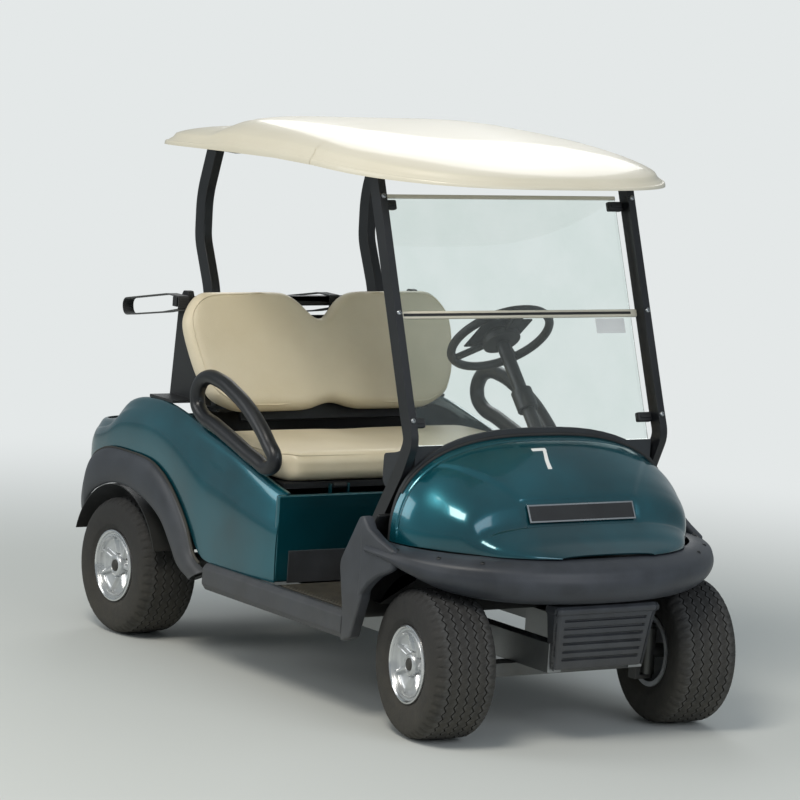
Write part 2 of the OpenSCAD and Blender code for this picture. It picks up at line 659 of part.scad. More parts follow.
// ---- steering ----
wheel_hub = [F - 782, 270, 1081];
module on_column() { translate(wheel_hub) rotate([0, 180 - column_lean, 0]) children(); }
column_l = 716;
hub_len = 34;
hub_pin_r = 10;
module steering_column() {
  color(black) place() {
    on_column() {
      translate([0, 0, -hub_len / 2 + 4]) cylinder(r = hub_pin_r - running_gap, h = hub_len + 20);
      translate([0, 0, hub_len / 2 + 4]) cylinder(r = 22, h = column_l);
      translate([0, 0, 200]) cylinder(r = 34, h = 70);
    }
    // Bracket that hangs the column from the dashboard
    side_plate([[shelf_rear + 30, 550], [shelf_rear + 60, 550], [shelf_rear + 100, 700 - seat_gap],
      [shelf_rear + 40, 700 - seat_gap]], wheel_hub.y - 25, wheel_hub.y + 25);
  }
}
module steering_wheel() {
  spoke_w = 34;
  color(black) place() on_column() difference() {
    union() {
      rotate_extrude() translate([steering_r, 0]) circle(r = 14, $fn = 32);
      translate([0, 0, -hub_len / 2]) cylinder(r = 62, h = hub_len);
      for (a = [90, 210, 330]) rotate([0, 0, a]) translate([40, -spoke_w / 2, -6]) cube([steering_r - 40, spoke_w, 12]);
      // Clipboard on the hub
      translate([-70, -90, -hub_len / 2 - 6]) cube([150, 180, 8]);
    }
    translate([0, 0, -hub_len / 2 + 3]) cylinder(r = hub_pin_r, h = hub_len);
  }
}

module pedals() {
  color(black) place() for (p = [[150, 90, 90], [300, 70, 120]])
    translate([toe_x - 40, p[0], floor_z + mat_t + 40]) rotate([0, -30, 0]) {
      block([0, 0, 0], [8, p[1], p[2]]);
      translate([4, p[1] / 2 - 8, 10]) rotate([0, 30, 0]) cube([41.2, 16, 12]);
    }
}

// ---- suspension and axles ----
ear_in = 72;
ear_t = 12;
yoke_web_y = kingpin_y - 55;
beam_z = 190;
module front_suspension() {
  color(steel) place() {
    difference() {
      union() {
        block([F - 30, -yoke_web_y, beam_z], [F + 30, yoke_web_y, rail_z - rail_h / 2]);
        both() {
          block([F - 18, yoke_web_y - 1, tyre_r - ear_in - ear_t], [F + 18, yoke_web_y + 15, tyre_r + ear_in + ear_t]);
          for (z = [tyre_r + ear_in, tyre_r - ear_in - ear_t]) {
            block([F - 18, yoke_web_y + 14, z], [F + 18, kingpin_y, z + ear_t]);
            bar_z(F, kingpin_y, 18, z, z + ear_t);
          }
        }
      }
      both() bar_z(F, kingpin_y, kingpin_r - 4, 0, 600);
    }
    // Transverse leaf spring below the beam
    side_block_leaf();
  }
}
module side_block_leaf() {
  block([F - 26, -yoke_web_y + 10, beam_z - 12], [F + 26, yoke_web_y - 10, beam_z]);
}

module at_kingpin(side) {
  translate([F, side * kingpin_y, tyre_r]) rotate([0, 0, steer_rest]) children();
}
spindle_l = front_track / 2 - kingpin_y + 30;
module knuckle(side) {
  arm = [[0, 0], [-50, 0], [-95, -side * 28], [-128, -side * 36]];
  at_kingpin(side) {
    translate([0, 0, -ear_in + 0.5]) cylinder(r = kingpin_r + 6, h = 2 * ear_in - 1);
    translate([0, 0, -ear_in - ear_t]) cylinder(r = kingpin_r - 4 - running_gap, h = 2 * ear_in + 2 * ear_t);
    rotate([-90 * side, 0, 0]) cylinder(r = spindle_r - running_gap, h = spindle_l);
    rotate([-90 * side, 0, 0]) cylinder(r = 22, h = 52);
    translate([0, 0, -46]) linear_extrude(12) polygon(strip(arm, 22));
  }
}
module right_knuckle() { color(steel) place() knuckle(-1); }
module left_knuckle() { color(steel) place() knuckle(1); }

diff_r = 109;
drum_in = rear_track / 2 - 86;
module rear_axle() {
  color(steel) place() {
    both() bar_y(0, tyre_r, 30, 0, drum_in);
    bar_y(0, tyre_r, diff_r, -60, 50);
    both() bar_y(0, tyre_r, 82, drum_in - 1, drum_in + 6);
    both() bar_y(0, tyre_r, shaft_r - running_gap, drum_in, rear_track / 2 + 34);
  }
}
motor_r = 92;
module drive_motor() {
  color(black) place() bar_y(190, tyre_r + 12, motor_r, 50 + seat_gap, 262);
}
spring_y = rail_y + rail_w / 2 + 22;
module rear_springs() {
  leaf = rounded_line([[-330, 300, 0], [-200, 226, 90], [0, tyre_r - 70, 300], [200, 226, 90], [330, 270, 0]], 6);
  color(steel) place() both() {
    side_plate(strip(leaf, 16), spring_y - 20, spring_y + 20);
    block([-35, spring_y - 20, tyre_r - 44], [35, spring_y + 20, tyre_r - 30 - seat_gap]);
    // Hangers on the rail's side
    block([-346, rail_y + rail_w / 2 + 0.3, 290], [-314, spring_y + 20, rear_rail_z + 20]);
    block([314, rail_y + rail_w / 2 + 0.3, 262], [346, spring_y + 20, rail_z + 30]);
    // Shock absorber
    bar_z(70, spring_y, 20, 236, 400);
    bar_z(70, spring_y, 12, 190, 240);
  }
}

// ---- wheels ----
module at_wheel(front, side) {
  if (front) at_kingpin(side) translate([0, side * (front_track / 2 - kingpin_y), 0])
    rotate([-90 * side, 0, 0]) children();
  else translate([0, side * rear_track / 2, tyre_r]) rotate([-90 * side, 0, 0]) children();
}
// Half section of a tyre. Columns: share of the sidewall's height, share of the half width
tyre_section = [[0, 0.84], [0.15, 0.84], [0.24, 0.92], [0.38, 0.98], [0.55, 1], [0.72, 0.985], [0.86, 0.92],
  [0.95, 0.8], [1, 0.62]];
module tyre() {
  side = [for (p = tyre_section) [rim_r + 0.3 + (tyre_r - rim_r - 0.3) * p.x, tyre_w / 2 * p.y]];
  rotate_extrude($fn = 96) polygon(concat(side, [for (p = reversed(side)) [p.x, -p.y]]));
}
bead_y = tyre_w / 2 * 0.84;
hub_r = 34;
cover_r = 117;
valve_r = 7;
spokes = 7;
module wheel(bore_r) {
  flange_in = bead_y + seat_gap;
  difference() {
    union() {
      // Hub, dished cover, barrel and both flanges
      rotate_extrude($fn = 96) polygon([[bore_r, -8], [hub_r, -8], [hub_r, 58], [rim_r - 5.6, 66],
        [rim_r - 5.6, -flange_in - 5], [rim_r + 10, -flange_in - 5], [rim_r + 10, -flange_in], [rim_r, -flange_in],
        [rim_r, flange_in], [cover_r, flange_in], [cover_r, flange_in + 8], [cover_r - 8, flange_in + 9],
        [rim_r - 8, 80], [hub_r, 70], [hub_r, 88], [0, 88], [0, 64], [bore_r, 64]]);
      for (i = [0 : spokes - 1]) rotate([0, 0, i * 360 / spokes])
        translate([0, 0, 66]) linear_extrude(20) polygon([[30, -8], [rim_r - 6, -3], [rim_r - 6, 3], [30, 8]]);
    }
    // Valve hole in the cover
    rotate([0, 0, 180 / spokes]) translate([72, 0, 40]) cylinder(r = valve_r, h = 60);
  }
}
module front_right_tyre() { color(black) place() at_wheel(true, -1) tyre(); }
module front_left_tyre() { color(black) place() at_wheel(true, 1) tyre(); }
module rear_right_tyre() { color(black) place() at_wheel(false, -1) tyre(); }
module rear_left_tyre() { color(black) place() at_wheel(false, 1) tyre(); }
module front_right_wheel() { color(silver) place() at_wheel(true, -1) wheel(spindle_r); }
module front_left_wheel() { color(silver) place() at_wheel(true, 1) wheel(spindle_r); }
module rear_right_wheel() { color(silver) place() at_wheel(false, -1) wheel(shaft_r); }
module rear_left_wheel() { color(silver) place() at_wheel(false, 1) wheel(shaft_r); }

chassis_rails();
chassis_crossmembers();
floor_pan();
floor_mat();
sills();
kick_posts();
front_cowl();
front_bumper();
bumper_box();
wheel_liners();
dashboard();
name_plate();
rear_body();
seat_plinth();
rear_fenders();
rear_bumper();
bagwell();
bag_rack();
bag_straps();
seat_back();
seat_back_panel();
seat_cushion();
seat_pan();
battery_pack();
drive_motor();
hip_rests();
roof();
rear_roof_struts();
front_roof_struts();
windscreen_upper();
windscreen_lower();
windscreen_rail();
steering_column();
steering_wheel();
pedals();
front_suspension();
rear_axle();
rear_springs();
right_knuckle();
left_knuckle();
front_right_tyre();
front_left_tyre();
rear_right_tyre();
rear_left_tyre();
front_right_wheel();
front_left_wheel();
rear_right_wheel();
rear_left_wheel();
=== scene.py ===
"""Looks of a two-seat electric golf cart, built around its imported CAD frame.

Sizes in the classes are millimetres from the rear axle's middle on the ground, with x forward and y to the left.
`at` turns them into the row frame's metres. Each class is one sub-assembly and each finish is named for the real one.
"""

from __future__ import annotations

import json
import logging
from dataclasses import dataclass
from enum import Enum
from math import atan2, copysign, cos, dist, exp, pi, radians, sin, tan, tau
from typing import Callable, Sequence

import bpy
from mathutils import Matrix, Vector

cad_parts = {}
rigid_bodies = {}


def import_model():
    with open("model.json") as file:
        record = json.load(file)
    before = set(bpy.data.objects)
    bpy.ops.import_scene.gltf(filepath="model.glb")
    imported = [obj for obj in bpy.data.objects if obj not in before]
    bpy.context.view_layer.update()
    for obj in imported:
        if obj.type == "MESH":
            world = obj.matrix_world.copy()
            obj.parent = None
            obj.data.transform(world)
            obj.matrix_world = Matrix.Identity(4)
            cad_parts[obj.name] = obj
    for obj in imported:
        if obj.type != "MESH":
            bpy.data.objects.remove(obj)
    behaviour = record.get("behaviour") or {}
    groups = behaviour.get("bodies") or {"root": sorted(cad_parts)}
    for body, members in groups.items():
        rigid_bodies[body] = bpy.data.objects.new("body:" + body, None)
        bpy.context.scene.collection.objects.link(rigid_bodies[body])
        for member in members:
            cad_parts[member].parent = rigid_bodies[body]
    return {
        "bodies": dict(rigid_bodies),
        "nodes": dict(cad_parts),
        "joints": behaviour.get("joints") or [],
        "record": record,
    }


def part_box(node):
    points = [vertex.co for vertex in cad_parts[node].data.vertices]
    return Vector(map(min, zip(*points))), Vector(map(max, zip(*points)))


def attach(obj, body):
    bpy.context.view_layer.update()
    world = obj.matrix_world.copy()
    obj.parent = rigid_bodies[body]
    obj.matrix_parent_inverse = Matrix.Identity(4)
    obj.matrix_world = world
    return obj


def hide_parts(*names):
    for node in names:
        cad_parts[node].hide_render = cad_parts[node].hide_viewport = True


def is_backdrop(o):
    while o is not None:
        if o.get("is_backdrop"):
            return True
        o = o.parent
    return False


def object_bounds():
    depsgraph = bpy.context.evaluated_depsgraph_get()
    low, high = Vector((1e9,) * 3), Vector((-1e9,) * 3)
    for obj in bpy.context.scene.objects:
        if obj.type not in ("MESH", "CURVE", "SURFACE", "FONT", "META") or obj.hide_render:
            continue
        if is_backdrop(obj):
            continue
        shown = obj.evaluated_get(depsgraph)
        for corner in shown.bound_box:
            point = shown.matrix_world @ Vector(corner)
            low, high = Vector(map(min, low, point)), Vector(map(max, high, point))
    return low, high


log = logging.getLogger("golf_cart")
Point = tuple[float, float, float]
Shape = Callable[[float, float], Vector]
Piece = bpy.types.Object
MM = 0.001
# Points nearer than this are one, in metres
MERGE_M = 1e-5
BACKDROP = "#E4E8E8"
REAR_AXLE = [0.0]
FRAME: dict = {}


def at(x: float, y: float, z: float) -> Vector:
    """Turns the cart's own millimetres into a point of the row frame in metres.

    Args:
        x: Distance ahead of the rear axle.
        y: Distance to the left of the middle.
        z: Height above the ground.

    Returns:
        The point.
    """
    return Vector((REAR_AXLE[0] + x * MM, y * MM, z * MM))


# ---------------------------------------------------------------- finishes


class Pattern(Enum):
    """How a surface was made, which sets its fine relief."""

    SPRAYED = "sprayed"
    MOULDED = "moulded"
    GRAINED = "grained"
    WOVEN = "woven"
    CAST = "cast"


def linear(code: str) -> tuple[float, float, float, float]:
    """Turns an sRGB hex colour into linear RGBA.

    Args:
        code: The colour, as #RRGGBB.

    Returns:
        The four channels, with alpha 1.
    """
    parts = [int(code[i : i + 2], 16) / 255 for i in (1, 3, 5)]
    return (*[c / 12.92 if c <= 0.04045 else ((c + 0.055) / 1.055) ** 2.4 for c in parts], 1.0)


def add(tree: bpy.types.NodeTree, kind: str, sockets: dict | None = None, **settings: object) -> bpy.types.Node:
    """Adds a shader node.

    Args:
        tree: The material's node tree.
        kind: Blender's name of the node's type, without ShaderNode.
        sockets: Input name or number to its value, or to the output socket that feeds it.
        settings: The node's own properties.

    Returns:
        The new node.
    """
    node = tree.nodes.new(f"ShaderNode{kind}")
    for key, value in settings.items():
        setattr(node, key, value)
    for key, value in (sockets or {}).items():
        if isinstance(value, bpy.types.NodeSocket):
            tree.links.new(value, node.inputs[key])
        else:
            node.inputs[key].default_value = value
    return node


@dataclass(frozen=True)
class Finish:
    """One real material and how its surface looks.

    Colours are sRGB hex. `tone` is the colour that blotches lean to, and `dust` is how far dried mud shows low down.
    `relief_mm` is the size of the fine relief and `relief` its strength.
    """

    name: str
    slot: str
    base: str
    tone: str
    roughness: float
    pattern: Pattern
    relief_mm: float
    relief: float
    metallic: float = 0.0
    coat: float = 0.0
    sheen: float = 0.0
    blotch_mm: float = 160.0
    dust: float = 0.0
    dust_top: float = 0.5
    wear: float = 0.0
    transmission: float = 0.0

    def build(self) -> bpy.types.Material:
        """Makes the node material, once for each finish."""
        made = bpy.data.materials.get(self.name)
        if made:
            return made
        material = bpy.data.materials.new(self.name)
        material.use_nodes = True
        tree = material.node_tree
        shader = tree.nodes["Principled BSDF"]
        spot = add(tree, "TexCoord").outputs["Object"]
        blotch = add(tree, "TexNoise", {"Vector": spot, "Scale": 1000 / self.blotch_mm, "Detail": 5.0})
        share = add(tree, "MapRange", {"Value": blotch.outputs["Fac"], "From Min": 0.35, "From Max": 0.65})
        colour = self._mix(tree, share.outputs["Result"], linear(self.base), linear(self.tone))
        rough = add(tree, "MapRange", {"Value": blotch.outputs["Fac"], "From Min": 0.3, "From Max": 0.7,
                    "To Min": self.roughness * 0.86, "To Max": min(1.0, self.roughness * 1.16)}).outputs["Result"]
        fine = self._fine(tree, spot)
        if self.pattern is Pattern.SPRAYED and self.metallic:
            # Aluminium flake under lacquer: points that are a little lighter
            flake = add(tree, "MapRange", {"Value": fine, "From Min": 0.35, "From Max": 0.75, "To Max": 0.35})
            colour = self._mix(tree, flake.outputs["Result"], colour, linear(self.tone))
        if self.wear:
            edge = add(tree, "NewGeometry").outputs["Pointiness"]
            worn = add(tree, "MapRange", {"Value": edge, "From Min": 0.52, "From Max": 0.62, "To Max": self.wear})
            colour = self._mix(tree, worn.outputs["Result"], colour, linear("#9A9C9E"))
        if self.dust:
            height = add(tree, "SeparateXYZ", {"Vector": spot}).outputs["Z"]
            low = add(tree, "MapRange",
                      {"Value": height, "From Min": self.dust_top, "From Max": 0.05, "To Max": self.dust})
            patch = add(tree, "TexNoise", {"Vector": spot, "Scale": 22.0, "Detail": 8.0, "Roughness": 0.7})
            film = add(tree, "Math", {0: low.outputs["Result"], 1: patch.outputs["Fac"]}, operation="MULTIPLY")
            colour = self._mix(tree, film.outputs[0], colour, linear("#77705F"))
        bump = add(tree, "Bump", {"Height": fine, "Strength": self.relief, "Distance": self.relief_mm * MM * 0.4})
        for key, value in {"Base Color": colour, "Roughness": rough, "Normal": bump.outputs["Normal"]}.items():
            tree.links.new(value, shader.inputs[key])
        for key, value in {"Metallic": self.metallic, "Coat Weight": self.coat, "Sheen Weight": self.sheen,
                           "Transmission Weight": self.transmission, "Coat Roughness": 0.06}.items():
            shader.inputs[key].default_value = value
        return material

    def _mix(self, tree: bpy.types.NodeTree, share: bpy.types.NodeSocket, first: object,
             second: object) -> bpy.types.NodeSocket:
        """Blends two colours, each a value or a socket, and returns the blend's socket."""
        node = add(tree, "Mix", {0: share, 6: first, 7: second}, data_type="RGBA")
        return node.outputs[2]

    def _fine(self, tree: bpy.types.NodeTree, spot: bpy.types.NodeSocket) -> bpy.types.NodeSocket:
        """Builds the relief that the making left, as a height from 0 to 1."""
        scale = 1000 / self.relief_mm
        if self.pattern is Pattern.GRAINED:
            cells = add(tree, "TexVoronoi", {"Vector": spot, "Scale": scale}, feature="DISTANCE_TO_EDGE")
            return add(tree, "MapRange", {"Value": cells.outputs["Distance"], "From Max": 0.25}).outputs["Result"]
        if self.pattern is Pattern.WOVEN:
            waves = [add(tree, "TexWave", {"Vector": spot, "Scale": scale / 6.3}, bands_direction=d)
                     for d in ("X", "Z")]
            return add(tree, "Math", {0: waves[0].outputs["Fac"], 1: waves[1].outputs["Fac"]},
                       operation="MAXIMUM").outputs[0]
        detail = 8.0 if self.pattern is Pattern.CAST else 3.0
        return add(tree, "TexNoise", {"Vector": spot, "Scale": scale, "Detail": detail}).outputs["Fac"]


# Two-stage metallic lacquer on a moulded ionomer panel: flake shows as depth, and the clear coat gives sharp lights
TEAL = Finish("metallic_lacquer", "paint_teal", "#073C45", "#0D6270", 0.24, Pattern.SPRAYED, 3.0, 0.02,
              metallic=0.62, coat=1.0, blotch_mm=420, dust=0.06, dust_top=0.2)
# Mass-coloured polyolefin with a fine moulded grain that has greyed outdoors
CHARCOAL = Finish("weathered_polyolefin", "moulded_charcoal", "#2F3238", "#3A3E45", 0.46, Pattern.MOULDED, 5.0, 0.18,
                  blotch_mm=90, dust=0.4, dust_top=0.5, wear=0.1)
# Black ABS from a textured mould
BLACK = Finish("textured_abs", "black_plastic", "#17181A", "#222426", 0.5, Pattern.MOULDED, 4.0, 0.22, blotch_mm=120,
               dust=0.45, dust_top=0.45)
# Dark padded top of the dashboard
DASH = Finish("soft_grain_abs", "black_plastic", "#26292C", "#303438", 0.62, Pattern.GRAINED, 5.0, 0.25)
# Epoxy powder coat on steel tube
POWDER = Finish("powder_coat", "black_steel", "#111316", "#1B1D21", 0.36, Pattern.SPRAYED, 3.0, 0.12, blotch_mm=200)
# Expanded vinyl over foam: satin, with a pebble grain drawn coarse enough to show
VINYL = Finish("expanded_vinyl", "cream_vinyl", "#DDD0B4", "#E6DAC0", 0.46, Pattern.GRAINED, 5.0, 0.10, coat=0.08,
               blotch_mm=240)
# Vacuum-formed ABS roof: a satin skin with a faint ripple
IVORY = Finish("thermoformed_abs", "ivory_moulding", "#DAD3BF", "#E0DAC8", 0.4, Pattern.MOULDED, 8.0, 0.05, coat=0.25,
               blotch_mm=350)
# Cast acrylic sheet
ACRYLIC = Finish("cast_acrylic", "clear_acrylic", "#EDF6F3", "#F3FAF8", 0.02, Pattern.MOULDED, 60.0, 0.0,
                 transmission=1.0)
# Silver basecoat on moulded wheel covers
SILVER = Finish("silver_basecoat", "silver_cover", "#C9CCCE", "#DADCDE", 0.3, Pattern.SPRAYED, 2.5, 0.05,
                metallic=0.75, coat=0.3, dust=0.35, dust_top=0.36)
# Machined rim lip
LIP = Finish("machined_lip", "silver_cover", "#D9DBDC", "#E4E5E6", 0.18, Pattern.SPRAYED, 2.5, 0.03, metallic=0.95,
             dust=0.2, dust_top=0.36)
# Rolled mild steel with a dull film
STEEL = Finish("mill_steel", "steel", "#6B6E70", "#565859", 0.5, Pattern.CAST, 6.0, 0.3, metallic=0.8, dust=0.6,
               dust_top=0.5)
# Extruded aluminium, as it comes from the mill
ALUMINIUM = Finish("mill_aluminium", "aluminium", "#8F9294", "#A0A3A5", 0.4, Pattern.SPRAYED, 5.0, 0.1, metallic=0.9,
                   dust=0.5)
# Worn treaded rubber, browned by turf
TYRE = Finish("worn_tyre_rubber", "tyre_rubber", "#1F1F20", "#2B2B2B", 0.8, Pattern.CAST, 7.0, 0.35, blotch_mm=30,
              dust=0.35, dust_top=0.45, wear=0.3)
# Ribbed floor rubber
RUBBER = Finish("floor_rubber", "rubber", "#1C1D1E", "#2A2B2B", 0.7, Pattern.CAST, 8.0, 0.3, dust=0.9, dust_top=0.7)
# Woven polyester webbing
WEBBING = Finish("polyester_webbing", "webbing", "#1B1C1E", "#26282A", 0.8, Pattern.WOVEN, 4.0, 0.5, sheen=0.3)
# White vinyl film for the number and the blank sticker
WHITE = Finish("white_vinyl_film", "ivory_moulding", "#F2F3F1", "#E9EAE8", 0.4, Pattern.MOULDED, 6.0, 0.03)
# Zinc-plated screws and clips
ZINC = Finish("zinc_plate", "steel", "#B4B7BA", "#9EA1A4", 0.28, Pattern.CAST, 3.0, 0.1, metallic=0.9)


# ---------------------------------------------------------------- modelling


def deselect() -> None:
    """Leaves nothing selected."""
    if bpy.context.object and bpy.context.object.mode != "OBJECT":
        bpy.ops.object.mode_set(mode="OBJECT")
    bpy.ops.object.select_all(action="DESELECT")


def pick(piece: Piece) -> None:
    """Makes the piece the only selected object, and the active one."""
    deselect()
    piece.select_set(True)
    bpy.context.view_layer.objects.active = piece


def edit(piece: Piece, *steps: Callable[[], object]) -> None:
    """Runs operators in edit mode with the whole mesh selected.

    Args:
        piece: The piece to edit.
        steps: The operators, in order.
    """
    pick(piece)
    bpy.ops.object.mode_set(mode="EDIT")
    for step in steps:
        bpy.ops.mesh.select_all(action="SELECT")
        step()
    bpy.ops.object.mode_set(mode="OBJECT")


def modify(piece: Piece, kind: str, **settings: object) -> Piece:
    """Adds a modifier and applies it.

    Args:
        piece: The piece to change.
        kind: Blender's name of the modifier's type.
        settings: The modifier's own properties.

    Returns:
        The same piece.
    """
    pick(piece)
    modifier = piece.modifiers.new(kind.title(), kind)
    for key, value in settings.items():
        setattr(modifier, key, value)
    bpy.ops.object.modifier_apply(modifier=modifier.name)
    return piece


def linked(name: str, data: bpy.types.ID) -> Piece:
    """Makes an object and puts it in the scene.

    Args:
        name: The object's name.
        data: Its mesh, curve, camera or light.

    Returns:
        The object.
    """
    made = bpy.data.objects.new(name, data)
    bpy.context.scene.collection.objects.link(made)
    return made


def face_out(piece: Piece) -> None:
    """Flips an open shell whose faces point to its middle."""
    mesh = piece.data
    middle = sum((p.center for p in mesh.polygons), Vector()) / len(mesh.polygons)
    if sum((p.center - middle).dot(p.normal) * p.area for p in mesh.polygons) < 0:
        edit(piece, bpy.ops.mesh.flip_normals)


def smooth(piece: Piece, angle: float = 40) -> Piece:
    """Shades smooth, and keeps edges sharper than the angle in degrees.

    Args:
        piece: The piece to shade.
        angle: The angle between faces, in degrees.

    Returns:
        The same piece.
    """
    pick(piece)
    bpy.ops.object.shade_smooth_by_angle(angle=radians(angle))
    return piece


def even(piece: Piece) -> Piece:
    """Shades a bevelled piece smooth, and keeps its broad faces flat."""
    smooth(piece)
    modify(piece, "WEIGHTED_NORMAL", keep_sharp=True)
    return piece


def surface(name: str, columns: int, rows: int, shape: Shape, wall: float = 0.0, angle: float = 40) -> Piece:
    """Models a panel from a grid that is drawn over a shape.

    Args:
        name: The piece's name.
        columns: Faces along u.
        rows: Faces along v.
        shape: Gives the point at u and v, each from 0 to 1.
        wall: Thickness in millimetres, laid inwards, or 0 for a closed form.
        angle: Edges sharper than this stay sharp.

    Returns:
        The piece.
    """
    deselect()
    bpy.ops.mesh.primitive_grid_add(x_subdivisions=columns, y_subdivisions=rows, size=1)
    piece = bpy.context.object
    piece.name = piece.data.name = name
    for vertex in piece.data.vertices:
        vertex.co = shape(vertex.co.x + 0.5, vertex.co.y + 0.5)
    edit(piece, lambda: bpy.ops.mesh.remove_doubles(threshold=MERGE_M),
         lambda: bpy.ops.mesh.normals_make_consistent(inside=False))
    if wall:
        face_out(piece)
        modify(piece, "SOLIDIFY", thickness=wall * MM, offset=-1)
    return smooth(piece, angle)


def revolved(name: str, profile: Sequence[tuple[float, float]], place: Matrix, steps: int = 96,
             move: Callable[[float, float, float], tuple[float, float]] | None = None) -> Piece:
    """Models a turned form from a profile of radius and height.

    Args:
        name: The piece's name.
        profile: Radius and height in millimetres, in order; a closed loop repeats its first point.
        place: Carries the form's own metres, with its axis along z, to the row frame.
        steps: Faces round the axis.
        move: Changes radius and height at an angle in radians.

    Returns:
        The piece.
    """

    def shape(u: float, v: float) -> Vector:
        """Places one point of the turned form."""
        turn = tau * (u % 1.0 if u < 1 - 1e-9 else 0.0)
        r, h = profile[round(v * (len(profile) - 1))]
        if move:
            r, h = move(turn, r, h)
        return place @ (Vector((r * cos(turn), r * sin(turn), h)) * MM)

    return surface(name, steps, len(profile) - 1, shape)


def panel(name: str, frame: Matrix, low: Point, high: Point, bevel: float = 3.0, segments: int = 3) -> Piece:
    """Models a box with rounded edges in a local frame.

    Args:
        name: The piece's name.
        frame: Carries local metres to the row frame.
        low: The lowest corner, in local millimetres.
        high: The highest corner, in local millimetres.
        bevel: Edge radius in millimetres.
        segments: Faces across each rounded edge.

    Returns:
        The piece.
    """
    deselect()
    bpy.ops.mesh.primitive_cube_add(size=1)
    piece = bpy.context.object
    piece.name = piece.data.name = name
    a, b = Vector(low) * MM, Vector(high) * MM
    piece.data.transform(frame @ Matrix.Translation((a + b) / 2) @ Matrix.Diagonal((*(b - a), 1)))
    modify(piece, "BEVEL", width=bevel * MM, segments=segments)
    return even(piece)


def block(name: str, low: Point, high: Point, bevel: float = 3.0, segments: int = 3) -> Piece:
    """Models a box with rounded edges between two corners in the cart's millimetres."""
    return panel(name, Matrix.Translation(at(0, 0, 0)), low, high, bevel, segments)


def tube(name: str, points: Sequence[Vector], radius: float, closed: bool = False, sides: int = 6) -> Piece:
    """Models a round bar of a radius in millimetres along a smooth line, and makes it a mesh.

    Args:
        name: The piece's name.
        points: Points of the line in the row frame.
        radius: The bar's radius in millimetres.
        closed: Whether the line ends where it starts.
        sides: Fineness of the round section.

    Returns:
        The piece.
    """
    curve = bpy.data.curves.new(name, "CURVE")
    curve.dimensions, curve.bevel_depth, curve.bevel_resolution, curve.resolution_u = "3D", radius * MM, sides, 8
    curve.use_fill_caps = True
    spline = curve.splines.new("BEZIER")
    spline.bezier_points.add(len(points) - 1)
    spline.use_cyclic_u = closed
    for knot, point in zip(spline.bezier_points, points):
        knot.co = point
        knot.handle_left_type = knot.handle_right_type = "AUTO"
    piece = linked(name, curve)
    pick(piece)
    bpy.ops.object.convert(target="MESH")
    return smooth(bpy.context.object)


def screw(name: str, centre: Vector, out: Vector, radius: float = 7.0, height: float = 4.0) -> Piece:
    """Models a domed screw head with a socket, facing out.

    Args:
        name: The piece's name.
        centre: Where the head sits, in the row frame.
        out: The way that it faces.
        radius: The head's radius in millimetres.
        height: The head's height in millimetres.

    Returns:
        The piece.
    """
    profile = [(0, -3), (radius, -3), (radius, height * 0.4), (radius * 0.75, height * 0.9), (radius * 0.45, height),
               (radius * 0.42, height * 0.4), (0, height * 0.4)]
    return revolved(name, profile, Matrix.Translation(centre) @ out.to_track_quat("Z", "Y").to_matrix().to_4x4(), 20)


def dressed_copy(node: str, name: str, bevel: float = 3.0, segments: int = 2, angle: float = 30) -> Piece:
    """Copies a CAD node's mesh, merges it and rounds its edges.

    Args:
        node: The CAD node.
        name: The new piece's name.
        bevel: Edge radius in millimetres.
        segments: Faces across each rounded edge.
        angle: Edges flatter than this are left.

    Returns:
        The new piece, which stands for the node.
    """
    source = FRAME["nodes"][node]
    piece = linked(name, source.data.copy())
    piece.data.name = name
    piece.data.materials.clear()
    edit(piece, lambda: bpy.ops.mesh.remove_doubles(threshold=2e-5),
         lambda: bpy.ops.mesh.dissolve_limited(angle_limit=radians(0.6)))
    modify(piece, "BEVEL", width=bevel * MM, segments=segments, limit_method="ANGLE", angle_limit=radians(angle),
           use_clamp_overlap=True, miter_outer="MITER_ARC")
    return even(piece)


def joined(name: str, pieces: Sequence[Piece]) -> Piece:
    """Joins copies of a repeated part into one piece.

    Args:
        name: The piece's name.
        pieces: The copies; the first takes in the others.

    Returns:
        The piece.
    """
    deselect()
    for piece in pieces:
        piece.select_set(True)
    bpy.context.view_layer.objects.active = pieces[0]
    bpy.ops.object.join()
    pieces[0].name = pieces[0].data.name = name
    return pieces[0]


def dress(piece: Piece, finish: Finish, *nodes: str, body: str = "chassis") -> Piece:
    """Gives a piece its finish, and ties it to the frame.

    Args:
        piece: The piece.
        finish: Its material.
        nodes: The CAD nodes that it stands for, if any.
        body: The body that it rides.

    Returns:
        The same piece.
    """
    piece.data.materials.clear()
    piece.data.materials.append(finish.build())
    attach(piece, body)
    if nodes:
        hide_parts(*nodes)
    log.info("%s on %s", piece.name, body)
    return piece


def mirrored(piece: Piece, name: str) -> Piece:
    """Copies a piece to the cart's other side, with its own mesh.

    Args:
        piece: The piece to copy.
        name: The copy's name.

    Returns:
        The copy.
    """
    other = linked(name, piece.data.copy())
    other.data.transform(Matrix.Diagonal((1, -1, 1, 1)))
    edit(other, bpy.ops.mesh.flip_normals)
    return other


def dress_pair(piece: Piece, other: str, finish: Finish, *nodes: str) -> None:
    """Dresses a right-hand piece and, under the other name, its mirrored copy.

    Args:
        piece: The right-hand piece, which stands for the nodes.
        other: The copy's name.
        finish: The material of both.
        nodes: The CAD nodes that the pair stands for.
    """
    dress(mirrored(piece, other), finish)
    dress(piece, finish, *nodes)


